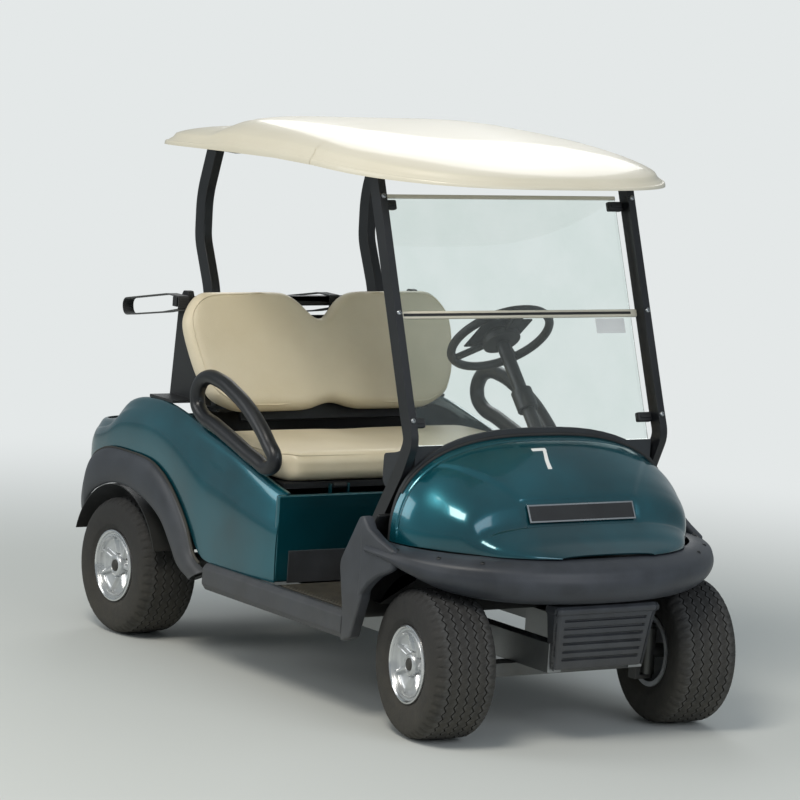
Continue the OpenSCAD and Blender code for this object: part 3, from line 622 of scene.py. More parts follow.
@dataclass(frozen=True)
class Track:
    """A smooth line through rows of numbers, looked up by the first column."""

    rows: tuple[tuple[float, ...], ...]

    def __call__(self, x: float) -> list[float]:
        """Gives the other columns at x."""
        rows = self.rows
        x = min(max(x, rows[0][0]), rows[-1][0])
        i = next((k for k in range(len(rows) - 1) if x <= rows[k + 1][0]), len(rows) - 2)
        a, b = rows[i], rows[i + 1]
        before, after = rows[max(i - 1, 0)], rows[min(i + 2, len(rows) - 1)]
        h = b[0] - a[0]
        t = (x - a[0]) / h
        values = []
        for p0, p1, p2, p3 in zip(before[1:], a[1:], b[1:], after[1:]):
            m1 = (p2 - p0) / (b[0] - before[0]) * h
            m2 = (p3 - p1) / (after[0] - a[0]) * h
            values.append((2 * t**3 - 3 * t**2 + 1) * p1 + (t**3 - 2 * t**2 + t) * m1
                          + (3 * t**2 - 2 * t**3) * p2 + (t**3 - t**2) * m2)
        return values


def ease(x: float, low: float, high: float) -> float:
    """Rises smoothly from 0 at low to 1 at high, and falls if low is above high.

    Args:
        x: Where to look.
        low: Where the result is 0.
        high: Where the result is 1.

    Returns:
        The share, from 0 to 1.
    """
    t = min(max((x - low) / (high - low), 0.0), 1.0)
    return t * t * (3 - 2 * t)


def signed(value: float, power: float) -> float:
    """Raises a number's size to a power.

    Args:
        value: The number.
        power: The exponent.

    Returns:
        The result, with the number's sign.
    """
    return copysign(abs(value) ** power, value)


# ---------------------------------------------------------------- bodywork


@dataclass(frozen=True)
class Cowl:
    """Moulded front cowl with its plate, number and rubber strip."""

    rear: float = 1490
    base: float = 566
    length: float = 392
    film_lift: float = 5.6
    stations: Track = Track(((0, 520, 872, 2.6), (70, 508, 838, 2.7), (140, 474, 790, 2.9), (190, 444, 748, 3.3),
                             (228, 414, 706, 3.8), (258, 388, 646, 3.8), (320, 334, 610, 3.2), (366, 252, 588, 2.8),
                             (392, 170, 576, 2.6)))

    def plain(self, offset: float, share: float) -> Vector:
        """Gives a point of the bare form: offset ahead of the rear edge, and share round the arch from the left."""
        half, top, power = self.stations(offset)
        turn = pi * (1 - share)
        c, s = cos(turn), sin(turn)
        y = half * signed(c, 2 / power)
        return Vector((self.rear + offset, y, self.base + (top - self.base) * abs(s) ** (2 / power)))

    def detail(self, offset: float, y: float) -> float:
        """Gives how far the moulded features stand out, in millimetres."""
        side = abs(y)
        slant = (226 - offset) * 0.95
        panel = ease(side, 214 + slant, 200 + slant) * ease(offset, 228, 216) * ease(offset, 24, 40)
        recess = ease(side, 216, 206) * ease(offset, 219, 226) * ease(offset, 268, 264)
        shelf = ease(offset, 263, 269) * ease(offset, 345, 272) * ease(side, 400, 190)
        step = ease(offset, 22, 26) * ease(offset, 34, 30)
        return 4 * panel - 3 * recess + 10 * shelf - 2.5 * step

    def shape(self, u: float, v: float) -> Vector:
        """Adds the features along the form's own normal."""
        offset = self.length * u
        p = self.plain(offset, v)
        du = self.plain(min(offset + 1, self.length), v) - self.plain(max(offset - 1, 0), v)
        dv = self.plain(offset, min(v + 0.004, 1)) - self.plain(offset, max(v - 0.004, 0))
        out = dv.cross(du)
        out = out.normalized() if out.length > 1e-6 else Vector((0, 0, 1))
        if out.z < -0.05 or out.x < -0.2:
            out = -out
        return at(*(p + out * self.detail(offset, p.y)))

    def height(self, x: float, y: float) -> float:
        """Gives the cowl's height over a point."""
        half, top, power = self.stations(x - self.rear)
        return self.base + (top - self.base) * (1 - min(abs(y) / half, 1) ** power) ** (1 / power)

    def numeral(self) -> Piece:
        """Cuts a plain white 7 from film and lays it on the cowl."""
        x0, y0 = 1598.0, -52.0
        strokes = ([(-25, 40, 13), (0, 40, 13), (27, 40, 13)],
                   [(22, 44, 12), (14, 18, 13), (4, -12, 14), (-2, -46, 15)])
        parts = []
        for k, stroke in enumerate(strokes):
            line = Track(tuple((i / (len(stroke) - 1), *s) for i, s in enumerate(stroke)))

            def shape(u: float, v: float, line: Track = line, flat: bool = k == 0) -> Vector:
                """Lays one stroke's point on the cowl."""
                a, b, width = line(u)
                a, b = (a, b + (v - 0.5) * width) if flat else (a + (v - 0.5) * width, b)
                x, y = x0 - b / 1.25, y0 + a
                return at(x, y, self.height(x, y) + self.film_lift)

            parts.append(surface(f"stroke_{k}", 10, 2, shape, wall=0.6))
        return joined("cart_number", parts)

    def build(self) -> None:
        """Makes and dresses the cowl's pieces."""
        dress(surface("cowl_panel", 150, 120, self.shape, wall=4.5, angle=60), TEAL, "front_cowl")
        lean = atan2(30, 60)
        seat = Matrix.Translation(at(self.rear + 243, 0, 676)) @ Matrix.Rotation(-lean, 4, "Y")
        dress(panel("plate_border", seat, (-1, -196, -28), (3.4, 196, 28), 1.2), ZINC, "name_plate")
        dress(panel("plate_face", seat, (0, -191, -23), (4.2, 191, 23), 0.8), BLACK)
        dress(self.numeral(), WHITE)
        strip = [at(self.rear + 3, p.y, p.z + 2) for p in (self.plain(3, 0.12 + 0.76 * i / 24) for i in range(25))]
        dress(tube("cowl_seal", strip, 5), RUBBER)


@dataclass(frozen=True)
class WheelWells:
    """Fairings that carry the bumper over the front arches into the kick posts, and the rear wheel liners."""

    outline: tuple[tuple[float, float], ...] = (
        (1444, 640), (1478, 606), (1530, 582), (1600, 558), (1600, 500), (1574, 486), (1533, 467), (1496, 440),
        (1464, 408), (1450, 384), (1440, 400), (1446, 500), (1436, 600))
    inner: float = 556
    outer: float = 592
    axle_z: float = 223
    liner_radius: float = 268
    liner_turn: tuple[float, float] = (20, 142)
    liner_y: tuple[float, float] = (374, 584)

    def fairing(self) -> Piece:
        """Models the right fairing, which stays inside the bumper's plan."""
        mesh = bpy.data.meshes.new("right_arch_fairing")
        count = len(self.outline)
        points = [at(x, -min(y, self.outer - max(x - 1500, 0) * 0.12), z) for y in (self.outer, self.inner) for x,
                  z in self.outline]
        sides = [(i, (i + 1) % count, count + (i + 1) % count, count + i) for i in range(count)]
        mesh.from_pydata(points, [], [tuple(reversed(range(count))), tuple(range(count, 2 * count)), *sides])
        piece = linked(mesh.name, mesh)
        edit(piece, lambda: bpy.ops.mesh.normals_make_consistent(inside=False))
        modify(piece, "BEVEL", width=9 * MM, segments=3, limit_method="ANGLE", angle_limit=radians(50))
        return even(piece)

    def liner(self, u: float, v: float) -> Vector:
        """Gives the right rear liner's point, round the tyre from front to back."""
        turn = radians(self.liner_turn[0] + self.liner_turn[1] * u)
        y = self.liner_y[0] + (self.liner_y[1] - self.liner_y[0]) * v
        return at(self.liner_radius * cos(turn), -y, self.axle_z + self.liner_radius * sin(turn))

    def build(self) -> None:
        """Makes and dresses the fairings and the liners."""
        dress_pair(self.fairing(), "left_arch_fairing", CHARCOAL)
        dress_pair(surface("right_rear_liner", 30, 3, self.liner, wall=3), "left_rear_liner", BLACK)


@dataclass(frozen=True)
class FrontBumper:
    """Rolled bumper moulding round the nose, its ribbed box and its screws."""

    nose: float = 1955
    round_x: float = 1484
    side_x: float = 1474
    half: float = 600
    depth: float = 80
    top: float = 563
    power: float = 2.1
    sweep: float = 110
    edge: Track = Track(((0, 428), (20, 428), (40, 434), (58, 452), (72, 486), (82, 512), (90, 522)))

    def plan(self, turn: float) -> tuple[float, float, float, float]:
        """Gives the plan point and inward direction at a sweep angle in degrees, past 90 along the straight side."""
        along = max(abs(turn) - 90, 0)
        t = radians(min(max(turn, -90), 90))
        c, s = max(cos(t), 0), sin(t)
        bulge = (self.nose - self.round_x) * c ** (2 / self.power)
        x = self.round_x + bulge - along * (self.round_x - self.side_x) / 20
        y = self.half * signed(s, 2 / self.power)
        d = Vector((c * c**0.2 + 0.001, s)).normalized()
        return x, y, -d.x, -d.y

    def shape(self, u: float, v: float) -> Vector:
        """Places one point of the roll: v runs from the lower edge over the front to the top edge."""
        turn = self.sweep * (2 * u - 1)
        x, y, ix, iy = self.plan(turn)
        low = self.edge(min(abs(turn), 90))[0]
        a = radians(-90 + 180 * v)
        inward = self.depth * (1 - cos(a)) - 4 * ease(v, 0.6, 0.68) * ease(v, 0.8, 0.72)
        return at(x + ix * inward, y + iy * inward, (low + self.top) / 2 + (self.top - low) / 2 * sin(a))

    def ribbed_box(self) -> Piece:
        """Models the box under the bumper: a tapered front with a round lip and six grooves."""
        face = Track(((0, 231, 1868, 162), (0.08, 238, 1872, 164), (0.8, 396, 1895, 180), (0.88, 404, 1902, 186),
                      (0.95, 416, 1904, 186), (1.0, 424, 1896, 184)))

        def shape(u: float, v: float) -> Vector:
            """Wraps the front face and both sides."""
            z, x, half = face(v)
            side = (u - 0.5) * 2.6
            y = half * max(-1.0, min(1.0, side))
            back = max(abs(side) - 1, 0) / 0.3
            groove = sum(ease(z, g - 5, g - 2) * ease(z, g + 5, g + 2) for g in range(262, 383, 24))
            inset = 9 * groove * ease(abs(side), 0.86, 0.82)
            round_off = 10 * ease(abs(side), 0.93, 1.0) * (1 if back == 0 else 0)
            return at(x - inset - round_off - back * (x - 1840), y, z)

        return surface("ribbed_box", 104, 90, shape, wall=5)

    def build(self) -> None:
        """Makes and dresses the bumper's pieces."""
        dress(surface("bumper_roll", 160, 28, self.shape, wall=5, angle=50), CHARCOAL, "front_bumper")
        box = joined("ribbed_box", [self.ribbed_box(), block("box_top", (1835, -180, 418), (1892, 180, 424), 2)])
        dress(box, CHARCOAL, "bumper_box")
        screws = []
        for turn in (-78, -60, -44, 44, 60, 78):
            u = (turn / self.sweep + 1) / 2
            spot, up = self.shape(u, 0.80), self.shape(u, 0.86) - self.shape(u, 0.74)
            out = (self.shape(u + 0.01, 0.8) - self.shape(u - 0.01, 0.8)).cross(up).normalized()
            screws.append(screw(f"screw_{turn}", spot, out if out.z > 0 else -out, 7, 3))
        dress(joined("bumper_screws", screws), BLACK)


@dataclass(frozen=True)
class RearBody:
    """Painted rear body, seat plinth and fender bands."""

    plan: tuple[tuple[float, float], ...] = (
        (-337, 0), (-337, 350), (-329, 430), (-299, 500), (-243, 544), (-120, 566), (0, 570), (120, 570), (240, 570),
        (340, 570), (430, 570), (520, 568), (640, 566), (760, 562), (850, 556), (915, 548))
    belt: Track = Track(((-400, 668), (-134, 690), (-26, 764), (87, 790), (226, 788), (416, 749), (634, 697),
                         (799, 645), (915, 612)))
    skirt: Track = Track(((-400, 420), (-300, 470), (-190, 560), (-80, 600), (64, 606), (192, 596), (291, 556),
                          (374, 490),
                          (437, 420), (500, 352), (566, 334), (915, 333.6)))
    section: Track = Track(((0, 0, 0, 0), (0.2, -2, 0.3, 0), (0.4, 0, 0.55, 0), (0.58, 9, 0.74, 0), (0.78, 19, 1, -27),
                            (0.88, 29, 1, -9), (0.95, 38, 1, -1), (1, 46, 1, 0)))
    fender: Track = Track(((0, 478, 262, 560, 306, 600), (1, 400, 296, 484, 345, 600), (2, 348, 352, 437, 420, 600),
                           (3, 278, 422, 374, 490, 600), (4, 174, 470, 291, 556, 600), (5, 60, 493, 192, 597, 600),
                           (6, -50, 488, 64, 606, 600), (7, -150, 452, -80, 600, 599), (8, -222, 398, -190, 560, 587),
                           (9, -258, 346, -262, 500, 564), (10, -274, 310, -300, 450, 550)))
    bulge: float = 22

    def lengths(self) -> Track:
        """Gives the plan line against its own length."""
        rows, run = [], 0.0
        for i, p in enumerate(self.plan):
            run += dist(p, self.plan[i - 1]) if i else 0
            rows.append((run, *p))
        return Track(tuple(rows))

    def shell(self) -> Piece:
        """Models the whole body shell, from the right side round the tail to the left."""
        line = self.lengths()
        total = line.rows[-1][0]

        def shape(u: float, v: float) -> Vector:
            """Places one point of the shell."""
            run = (2 * u - 1) * total
            side = 1 if run >= 0 else -1
            x, y = line(abs(run))
            ahead, behind = line(min(abs(run) + 4, total)), line(max(abs(run) - 4, 0))
            d = Vector((ahead[0] - behind[0], ahead[1] - behind[1])).normalized()
            offset, k, c = self.section(v)
            top, low = self.belt(x)[0], self.skirt(x)[0]
            if abs(run) < 4:
                d = Vector((0, 1))
            return at(x + d.y * offset, side * (y - d.x * offset), low + k * (top - low) + c)

        return surface("rear_shell", 220, 44, shape, wall=4.5, angle=60)

    def band(self) -> Piece:
        """Models the right fender band."""

        def shape(u: float, v: float) -> Vector:
            """Places one point of the band: v runs from its inner to its outer edge."""
            x0, z0, x1, z1, y = self.fender(10 * u)
            a = pi * v
            k = (1 - cos(a)) / 2
            return at(x0 + (x1 - x0) * k, -(y - self.bulge + self.bulge * sin(a)), z0 + (z1 - z0) * k)

        return surface("right_fender_band", 90, 22, shape, wall=5, angle=60)

    def build(self) -> None:
        """Makes and dresses the rear bodywork."""
        dress(self.shell(), TEAL, "rear_body")
        plinth = [block("plinth_front", (897, -547, 334), (915, 547, 606), 7)]
        plinth += [block("hinge_lug", (866, y + s * 33 - 3, 598), (880, y + s * 33 + 3, 630),
                         2) for y in (-300, 300) for s in (-1, 1)]
        dress(joined("seat_plinth_front", plinth), TEAL, "seat_plinth")
        dress(block("plinth_kick_panel", (911, -500, 331), (917, 500, 432), 2), CHARCOAL)
        dress_pair(self.band(), "left_fender_band", CHARCOAL, "rear_fenders")
        for side, word in ((-1, "right"), (1, "left")):
            caps = []
            for i in range(1, 20):
                _, _, x, z, y = self.fender(i / 2)
                caps.append(at(x, side * (y - self.bulge - 1), z + 1))
            dress(tube(f"{word}_fender_cap", caps, 4.5), RUBBER)


@dataclass(frozen=True)
class Roof:
    """Thermoformed roof skin with its four bosses."""

    rear: float = 20
    front: float = 1584
    half: float = 570
    edge_z: float = 1618
    top: float = 1745
    rear_square: float = 9
    front_square: float = 3.2
    dome: tuple[float, float] = (4.5, 0.42)
    lip_drop: float = 9
    edge: Track = Track(((20, -8), (500, 10), (900, 20), (1235, 10), (1584, 6)))
    crown: Track = Track(((20, 60), (200, 50), (370, 40), (395, 30), (440, 8), (470, 3), (650, 0), (900, 8),
                          (1250, 30), (1450, 50), (1584, 66)))

    def shape(self, u: float, v: float) -> Vector:
        """Places one point: u turns round the plan and v runs from the middle to the edge."""
        s = 1 - (1 - v) ** 2.4
        t = tau * u
        c, n = cos(t), sin(t)
        power = self.rear_square - (self.rear_square - self.front_square) * ease(c, -0.12, 0.12)
        middle, half_l = (self.rear + self.front) / 2, (self.front - self.rear) / 2
        x = middle + s * half_l * signed(c, 2 / power)
        y = s * self.half * signed(n, 2 / power)
        low, high = self.edge_z + self.edge(x)[0], self.top - self.crown(x)[0]
        drop = self.lip_drop * ease(s, 0.955, 0.97)
        rise = max(1 - s ** self.dome[0], 0) ** self.dome[1]
        return at(x, y, low + (high - low) * rise - drop * (1 - ease(s, 0.985, 1.0)))

    def build(self) -> None:
        """Makes and dresses the roof."""
        skin = surface("roof_skin", 220, 70, self.shape, wall=6, angle=60)
        bosses = [block("boss", (x - 20, y - 20, 1622), (x + 20, y + 20, z), 6) for x, z in ((180, 1678), (1206, 1690))
                  for y in ((-320, 320) if x < 900 else (-420, 420))]
        dress(joined("roof_skin", [skin, *bosses]), IVORY, "roof")


# ---------------------------------------------------------------- seats


@dataclass(frozen=True)
class Pad:
    """A crowned foam pad, drawn on a cube whose corners are rounded by radius."""

    name: str
    half: Point
    radius: float
    place: Matrix
    warp: Callable[[Vector], Vector]

    def point(self, q: Sequence[float]) -> Vector:
        """Carries a point of the cube from -1 to 1 to the pad's skin in the row frame."""
        r = self.radius
        spread = [copysign(1 - (1 - abs(c)) ** 1.5, c) for c in q]
        p = Vector([c * h for c, h in zip(spread, self.half)])
        core = Vector([max(-(h - r), min(h - r, c)) for c, h in zip(p, self.half)])
        off = p - core
        if off.length > 1e-9:
            off = off.normalized() * r
        return self.place @ (self.warp(core + off) * MM)

    def build(self, cuts: int = 26) -> Piece:
        """Models the pad from a cube that is cut and moved."""
        deselect()
        bpy.ops.mesh.primitive_cube_add(size=2)
        piece = bpy.context.object
        piece.name = piece.data.name = self.name
        edit(piece, lambda: bpy.ops.mesh.subdivide(number_cuts=cuts))
        for vertex in piece.data.vertices:
            vertex.co = self.point(vertex.co)
        modify(piece, "SUBSURF", levels=2, render_levels=2)
        return smooth(piece, 80)

    def seam(self, name: str, line: Sequence[Sequence[float]], radius: float = 2.6, closed: bool = False) -> Piece:
        """Lays a stitched welt along points of the cube."""
        return tube(name, [self.point(q) for q in line], radius, closed, 3)


@dataclass(frozen=True)
class Seats:
    """Bench cushion, two-lobed back and hip rests."""

    foot: tuple[float, float] = (388, 795)
    lean: float = 23.5

    def cushion(self) -> Pad:
        """Describes the bench cushion: two shallow seats with a soft front edge."""

        def warp(p: Vector) -> Vector:
            """Crowns the top and rounds the plan's corners."""
            lobe = 1 - ((abs(p.y) - 250) / 254) ** 2
            top = ease(p.z, 0, 40)
            dish = 9 * lobe * cos(min(abs(p.x) / 242, 1) * pi / 2) - 6 * exp(-((p.y / 24) ** 2))
            corner = ease(abs(p.x) / 242, 0.6, 1) * ease(abs(p.y) / 504, 0.85, 1)
            return Vector((p.x - copysign(22 * corner, p.x), p.y - copysign(24 * corner, p.y),
                           p.z + top * dish - 4 * top))

        return Pad("bench_cushion", (242, 504, 48), 40, Matrix.Translation(at(626, 0, 682.3)), warp)

    def back(self) -> Pad:
        """Describes the seat back: two lobes that meet at a deep notch."""

        def warp(p: Vector) -> Vector:
            """Cuts the notch, rounds the lobes and swells them."""
            k = (p.z + 198) / 396
            notch = 104 * exp(-abs(p.y / 78) ** 2.2)
            foot = 30 * exp(-((p.y / 62) ** 2)) + 34 * ease(abs(p.y), 400, 520)
            z = p.z - notch * ease(k, 0.35, 1.0) + foot * ease(k, 0.4, 0)
            narrow = 1 - 0.13 * (1 - k) ** 2.4 - 0.13 * ease(k, 0.62, 1.05) ** 2
            lobe = max(1 - (abs(abs(p.y) - 262) / 262) ** 2, 0)
            swell = (13 * lobe * sin(pi * min(max(k, 0), 1)) - 10 * exp(-((p.y / 30) ** 2))) * ease(p.x, -10, 30)
            return Vector((p.x + swell - 4, p.y * narrow, z))

        tilt = Matrix.Translation(at(self.foot[0], 0, self.foot[1])) @ Matrix.Rotation(radians(-self.lean), 4, "Y")
        return Pad("bench_back", (37.5, 514, 198), 34, tilt @ Matrix.Translation(Vector((-0.0375, 0, 0.198))), warp)

    def build(self) -> None:
        """Makes and dresses the seats."""
        cushion, back = self.cushion(), self.back()
        piece = dress(cushion.build(), VINYL, "seat_cushion", body="seat_lid")
        ring = [(0.93 * signed(cos(t), 0.35), 0.96 * signed(sin(t), 0.35), 1.0)
                for t in (tau * i / 48 for i in range(48))]
        dress(cushion.seam("cushion_welt", ring, closed=True), VINYL, body="seat_lid")
        dress(cushion.seam("cushion_middle_seam", [(x / 10, 0, 1.0) for x in range(-9, 10, 2)]), VINYL, body="seat_lid")
        piece = dress(back.build(), VINYL, "seat_back")
        rim = [(1.0, 0.95 * signed(cos(t), 0.45), 0.9 * signed(sin(t), 0.45))
               for t in (tau * i / 64 for i in range(64))]
        dress(back.seam("back_welt", rim, closed=True), VINYL)
        dress(back.seam("back_middle_seam", [(1.0, 0, z / 10) for z in range(-9, 10, 2)]), VINYL)
        line = ((444, 905), (402, 872), (396, 822), (424, 790), (520, 762), (640, 728), (760, 694), (846, 682),
                (868, 706),
                (826, 756), (770, 802), (700, 846), (620, 880), (530, 906))
        loop = tube("right_hip_rest", [at(x, -542, z) for x, z in line], 24, True, 10)
        dress_pair(loop, "left_hip_rest", POWDER, "hip_rests")


# ---------------------------------------------------------------- wheels


@dataclass(frozen=True)
class Wheel:
    """One turf tyre on an eight inch wheel with a seven-spoke cover."""

    word: str
    centre: Vector
    out: Vector
    radius: float = 223
    half: float = 104
    spokes: int = 7
    zigzags: int = 46
    zigzag: float = 4.5
    shoulder: tuple[float, float] = (72, 98)
    shoulder_r: float = 198
    notch: float = 3.5
    notch_share: float = 0.28

    def place(self) -> Matrix:
        """Gives the frame with z along the axle, outwards."""
        return Matrix.Translation(self.centre) @ self.out.to_track_quat("Z", "Y").to_matrix().to_4x4()

    def tyre_profile(self) -> list[tuple[float, float]]:
        """Lists radius and height from the outer bead over the tread to the inner bead."""
        wall = Track(((0, 102, 86), (0.12, 116, 88), (0.2, 124, 95), (0.24, 132, 97), (0.3, 134, 100),
                      (0.5, 160, 103.5),
                      (0.68, 183, 103), (0.82, 201, 98), (0.92, 211, 90), (1, 217, 81)))
        side = [tuple(wall(i / 22)) for i in range(23)]
        tread: list[tuple[float, float]] = []
        for c in (60, 30, 0, -30, -60):
            crown = 223 - 6 * (abs(c) / 81) ** 3
            tread += [(crown, c + 9), (crown, c + 2.6), (crown - 4.5, c + 2.0), (crown - 4.5, c - 2.0),
                      (crown, c - 2.6), (crown, c - 9)]
        return side + tread + [(r, -h) for r, h in reversed(side)]

    def tread(self, turn: float, r: float, h: float) -> tuple[float, float]:
        """Shifts the grooves into zigzags and notches the shoulders."""
        phase = (turn / tau * self.zigzags) % 1
        low, high = self.shoulder
        if abs(h) < low:
            return r, h + self.zigzag * (abs(phase - 0.5) * 4 - 1)
        if abs(h) < high and r > self.shoulder_r and phase < self.notch_share:
            return r - self.notch, h
        return r, h

    def cover(self, turn: float, r: float, h: float) -> tuple[float, float]:
        """Raises the seven tapered ridges of the cover's star."""
        if not 35 < r < 93 or h < 60:
            return r, h
        step = tau / self.spokes
        away = abs((turn + step / 2) % step - step / 2) * r
        width = 4.5 + (93 - r) * 0.11
        return r, h + 13 * exp(-((away / width) ** 4)) * ease(r, 35, 42) * ease(r, 94, 86) - 3 * ease(r, 94, 80)

    def build(self) -> None:
        """Makes and dresses the tyre and the wheel."""
        body, place = f"{self.word}_wheel", self.place()
        tyre = revolved(f"{self.word}_turf_tyre", self.tyre_profile() + [(102, 86)], place, self.zigzags * 6,
                        self.tread)
        dress(tyre, TYRE, f"{self.word}_tyre", body=body)
        rim = [(0, 62), (30, 62), (40, 60), (95, 66), (96, -92), (111, -92), (111.6, -88), (101.9, -87), (101.9, 87),
               (111, 87), (116, 90), (117, 94), (114, 97), (109, 95.5), (106, 90), (101, 89), (99, 93), (96, 94),
               (93.5, 91), (93, 82)]
        dish = [(93 - 3.1 * i, 78 - 0.5 * i) for i in range(1, 19)]
        hub = [(35.4, 70), (35, 80), (33, 86), (29, 88.5), (24, 89), (21.5, 86), (0, 85)]
        wheel = revolved(f"{self.word}_wheel_cover", rim + dish + hub, place, 168, self.cover)
        dress(wheel, SILVER, f"{self.word}_wheel", body=body)
        cap = revolved(f"{self.word}_hub_cap", [(0, 84), (19, 84), (19, 88), (16, 90.5), (8, 92), (0, 92.4)], place, 32)
        dress(cap, BLACK, body=body)
        lip = revolved(f"{self.word}_rim_lip",
                       [(108, 95), (112, 98.3), (116.5, 97), (118, 93), (116, 91), (112, 95.5), (108, 95)], place, 96)
        dress(lip, LIP, body=body)
        t = pi / self.spokes
        stem = place @ Matrix.Translation(Vector((70 * cos(t), 70 * sin(t), 60)) * MM)
        dress(revolved(f"{self.word}_valve", [(0, 0), (5, 0), (5, 12), (3.6, 14), (3.6, 22), (0, 22)], stem, 16),
              RUBBER, body=body)


# ---------------------------------------------------------------- upper works


@dataclass(frozen=True)
class Screen:
    """Windscreen panes with their rail, clips, bolts and sticker."""

    foot: tuple[float, float] = (1470, 917)
    lean: float = 19.9
    offset: float = -22
    half: float = 430
    strut_y: float = 465

    def on_pane(self, z: float, y: float = 0) -> Matrix:
        """Gives the frame of the panes at a height."""
        x = self.foot[0] - (z - self.foot[1]) * tan(radians(self.lean))
        return Matrix.Translation(at(x, y, z)) @ Matrix.Rotation(radians(-self.lean), 4, "Y")

    def build(self) -> None:
        """Makes and dresses the screen's pieces."""
        o, inner = self.offset, self.strut_y - 13
        for node, low, high in (("windscreen_upper", 1236, 1573), ("windscreen_lower", 852, 1216)):
            rise = (high - low) / cos(radians(self.lean))
            pane = panel(f"{node}_pane", self.on_pane(low), (o, -self.half, 0), (o + 5, self.half, rise), 1.2)
            pick(pane)
            bpy.ops.mesh.customdata_custom_splitnormals_clear()
            pane.data.shade_flat()
            dress(pane, ACRYLIC, node)
        rail = panel("screen_rail", self.on_pane(1226), (o - 5, -inner, -12), (o + 10, inner, 12), 4)
        dress(rail, IVORY, "windscreen_rail")
        dress(panel("screen_hinge", self.on_pane(1226), (o + 9, -425, -4), (o + 13, 425, 4), 1.5), RUBBER)
        dress(panel("top_edge_strip", self.on_pane(1571), (o - 3, -430, -7), (o + 8, 430, 5), 2), IVORY)
        clips, bolts = [], []
        for z in (917, 1545):
            for side in (-1, 1):
                y0, y1 = sorted((side * (self.half - 32), side * inner))
                clips.append(panel("clip", self.on_pane(z), (o - 8, y0, -15), (o + 13, y1, 15), 5))
                clips.append(panel("clip_slot", self.on_pane(z), (o + 12, y0 + 8, -4), (o + 17, y1 - 8, 4), 2))
        dress(joined("screen_clips", clips), BLACK)
        for z in (917, 1226, 1562):
            for side in (-1, 1):
                spot = self.on_pane(z, side * self.strut_y) @ Vector((0.024, 0, 0))
                bolts.append(screw("strut_bolt", spot, self.on_pane(z).to_3x3() @ Vector((1, 0, 0)), 8, 5))
        dress(joined("strut_bolts", bolts), ZINC)
        sticker = panel("blank_sticker", self.on_pane(1190), (o + 5, 290, -24), (o + 5.8, 400, 22), 0.3)
        dress(sticker, WHITE)


@dataclass(frozen=True)
class Cabin:
    """Steering wheel, score board and floor mat."""

    rim: float = 165

    def steering(self) -> None:
        """Makes the steering wheel: a grained rim, three spokes and a clipboard hub."""
        joint = next(j for j in FRAME["joints"] if j["name"] == "steering_wheel_turn")
        place = Matrix.Translation(joint["pos_m"]) @ Vector(joint["axis"]).to_track_quat("Z", "X").to_matrix().to_4x4()
        ring = [(self.rim + 14 * cos(tau * i / 16), 14 * sin(tau * i / 16)) for i in range(17)]
        rim = revolved("wheel_rim", ring, place, 96)
        hub = revolved("wheel_hub", [(0, -17), (62, -17), (62, 6), (54, 15), (30, 19), (0, 19)], place, 48)
        spokes = [panel("spoke", place @ Matrix.Rotation(radians(a), 4, "Z"), (44, -17, -7), (self.rim - 4, 17, 5),
                        5) for a in (0, 135, 225)]
        dress(joined("steering_wheel_rim", [rim, hub, *spokes]), BLACK, "steering_wheel", body="steering_wheel")
        board = panel("score_board", place, (-78, -90, 17), (76, 90, 23), 3)
        clip = panel("board_clip", place, (56, -38, 22), (74, 38, 30), 4)
        dress(joined("score_board", [board, clip]), DASH, body="steering_wheel")

    def mat(self) -> None:
        """Makes the floor mat with its ribs."""
        low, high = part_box("floor_mat")
        bed = block("mat_bed", (923, -524, 322), (1351, 524, 327), 1.5)
        rib = block("mat_rib", (930, -512, 326), (938, 512, 330), 1.2, 2)
        modify(rib, "ARRAY", count=26, use_relative_offset=False, use_constant_offset=True,
               constant_offset_displace=(0.0163, 0, 0))
        log.info("mat from %s to %s", low, high)
        dress(joined("ribbed_mat", [bed, rib]), RUBBER, "floor_mat")

    def build(self) -> None:
        """Makes and dresses the pieces."""
        self.steering()
        self.mat()


UNDERBODY: dict[str, Finish] = {
    "chassis_rails": ALUMINIUM, "chassis_crossmembers": ALUMINIUM, "wheel_liners": BLACK, "battery_pack": BLACK,
    "drive_motor": POWDER, "front_suspension": STEEL, "rear_axle": STEEL, "rear_springs": STEEL,
    "right_knuckle": STEEL, "left_knuckle": STEEL}


# CAD node, piece's name, edge radius in millimetres, faces across an edge, and finish
COPIES: tuple[tuple[str, str, float, int, Finish], ...] = (
    ("sills", "sill_mouldings", 3, 2, CHARCOAL), ("kick_posts", "front_posts", 9, 3, CHARCOAL),
    ("rear_bumper", "rear_bumper_bar", 5, 3, CHARCOAL), ("seat_pan", "seat_tray", 2, 2, BLACK),
    ("seat_back_panel", "seat_back_shell", 4, 2, BLACK), ("front_roof_struts", "front_struts", 7, 3, POWDER),
    ("rear_roof_struts", "rear_struts", 9, 3, POWDER), ("dashboard", "dash_moulding", 4, 2, DASH),
    ("steering_column", "column_tube", 2, 2, POWDER), ("pedals", "pedal_pads", 3, 2, POWDER),
    ("floor_pan", "floor_moulding", 3, 2, BLACK), ("bag_rack", "rack_moulding", 4, 2, BLACK),
    ("bagwell", "bag_well", 4, 2, BLACK), ("bag_straps", "strap_loops", 1, 2, WEBBING),
    *((node, f"{node}_part", 2, 2, finish) for node, finish in UNDERBODY.items()))


def dress_copies(record: dict) -> None:
    """Rounds and dresses the pieces that keep their CAD form, each on its own body.

    Args:
        record: The part's record, which lists the nodes of every body.
    """
    owner = {n: body for body, members in record["behaviour"]["bodies"].items() for n in members}
    for node, name, bevel, segments, finish in COPIES:
        dress(dressed_copy(node, name, bevel, segments), finish, node, body=owner[node])


# ---------------------------------------------------------------- stage


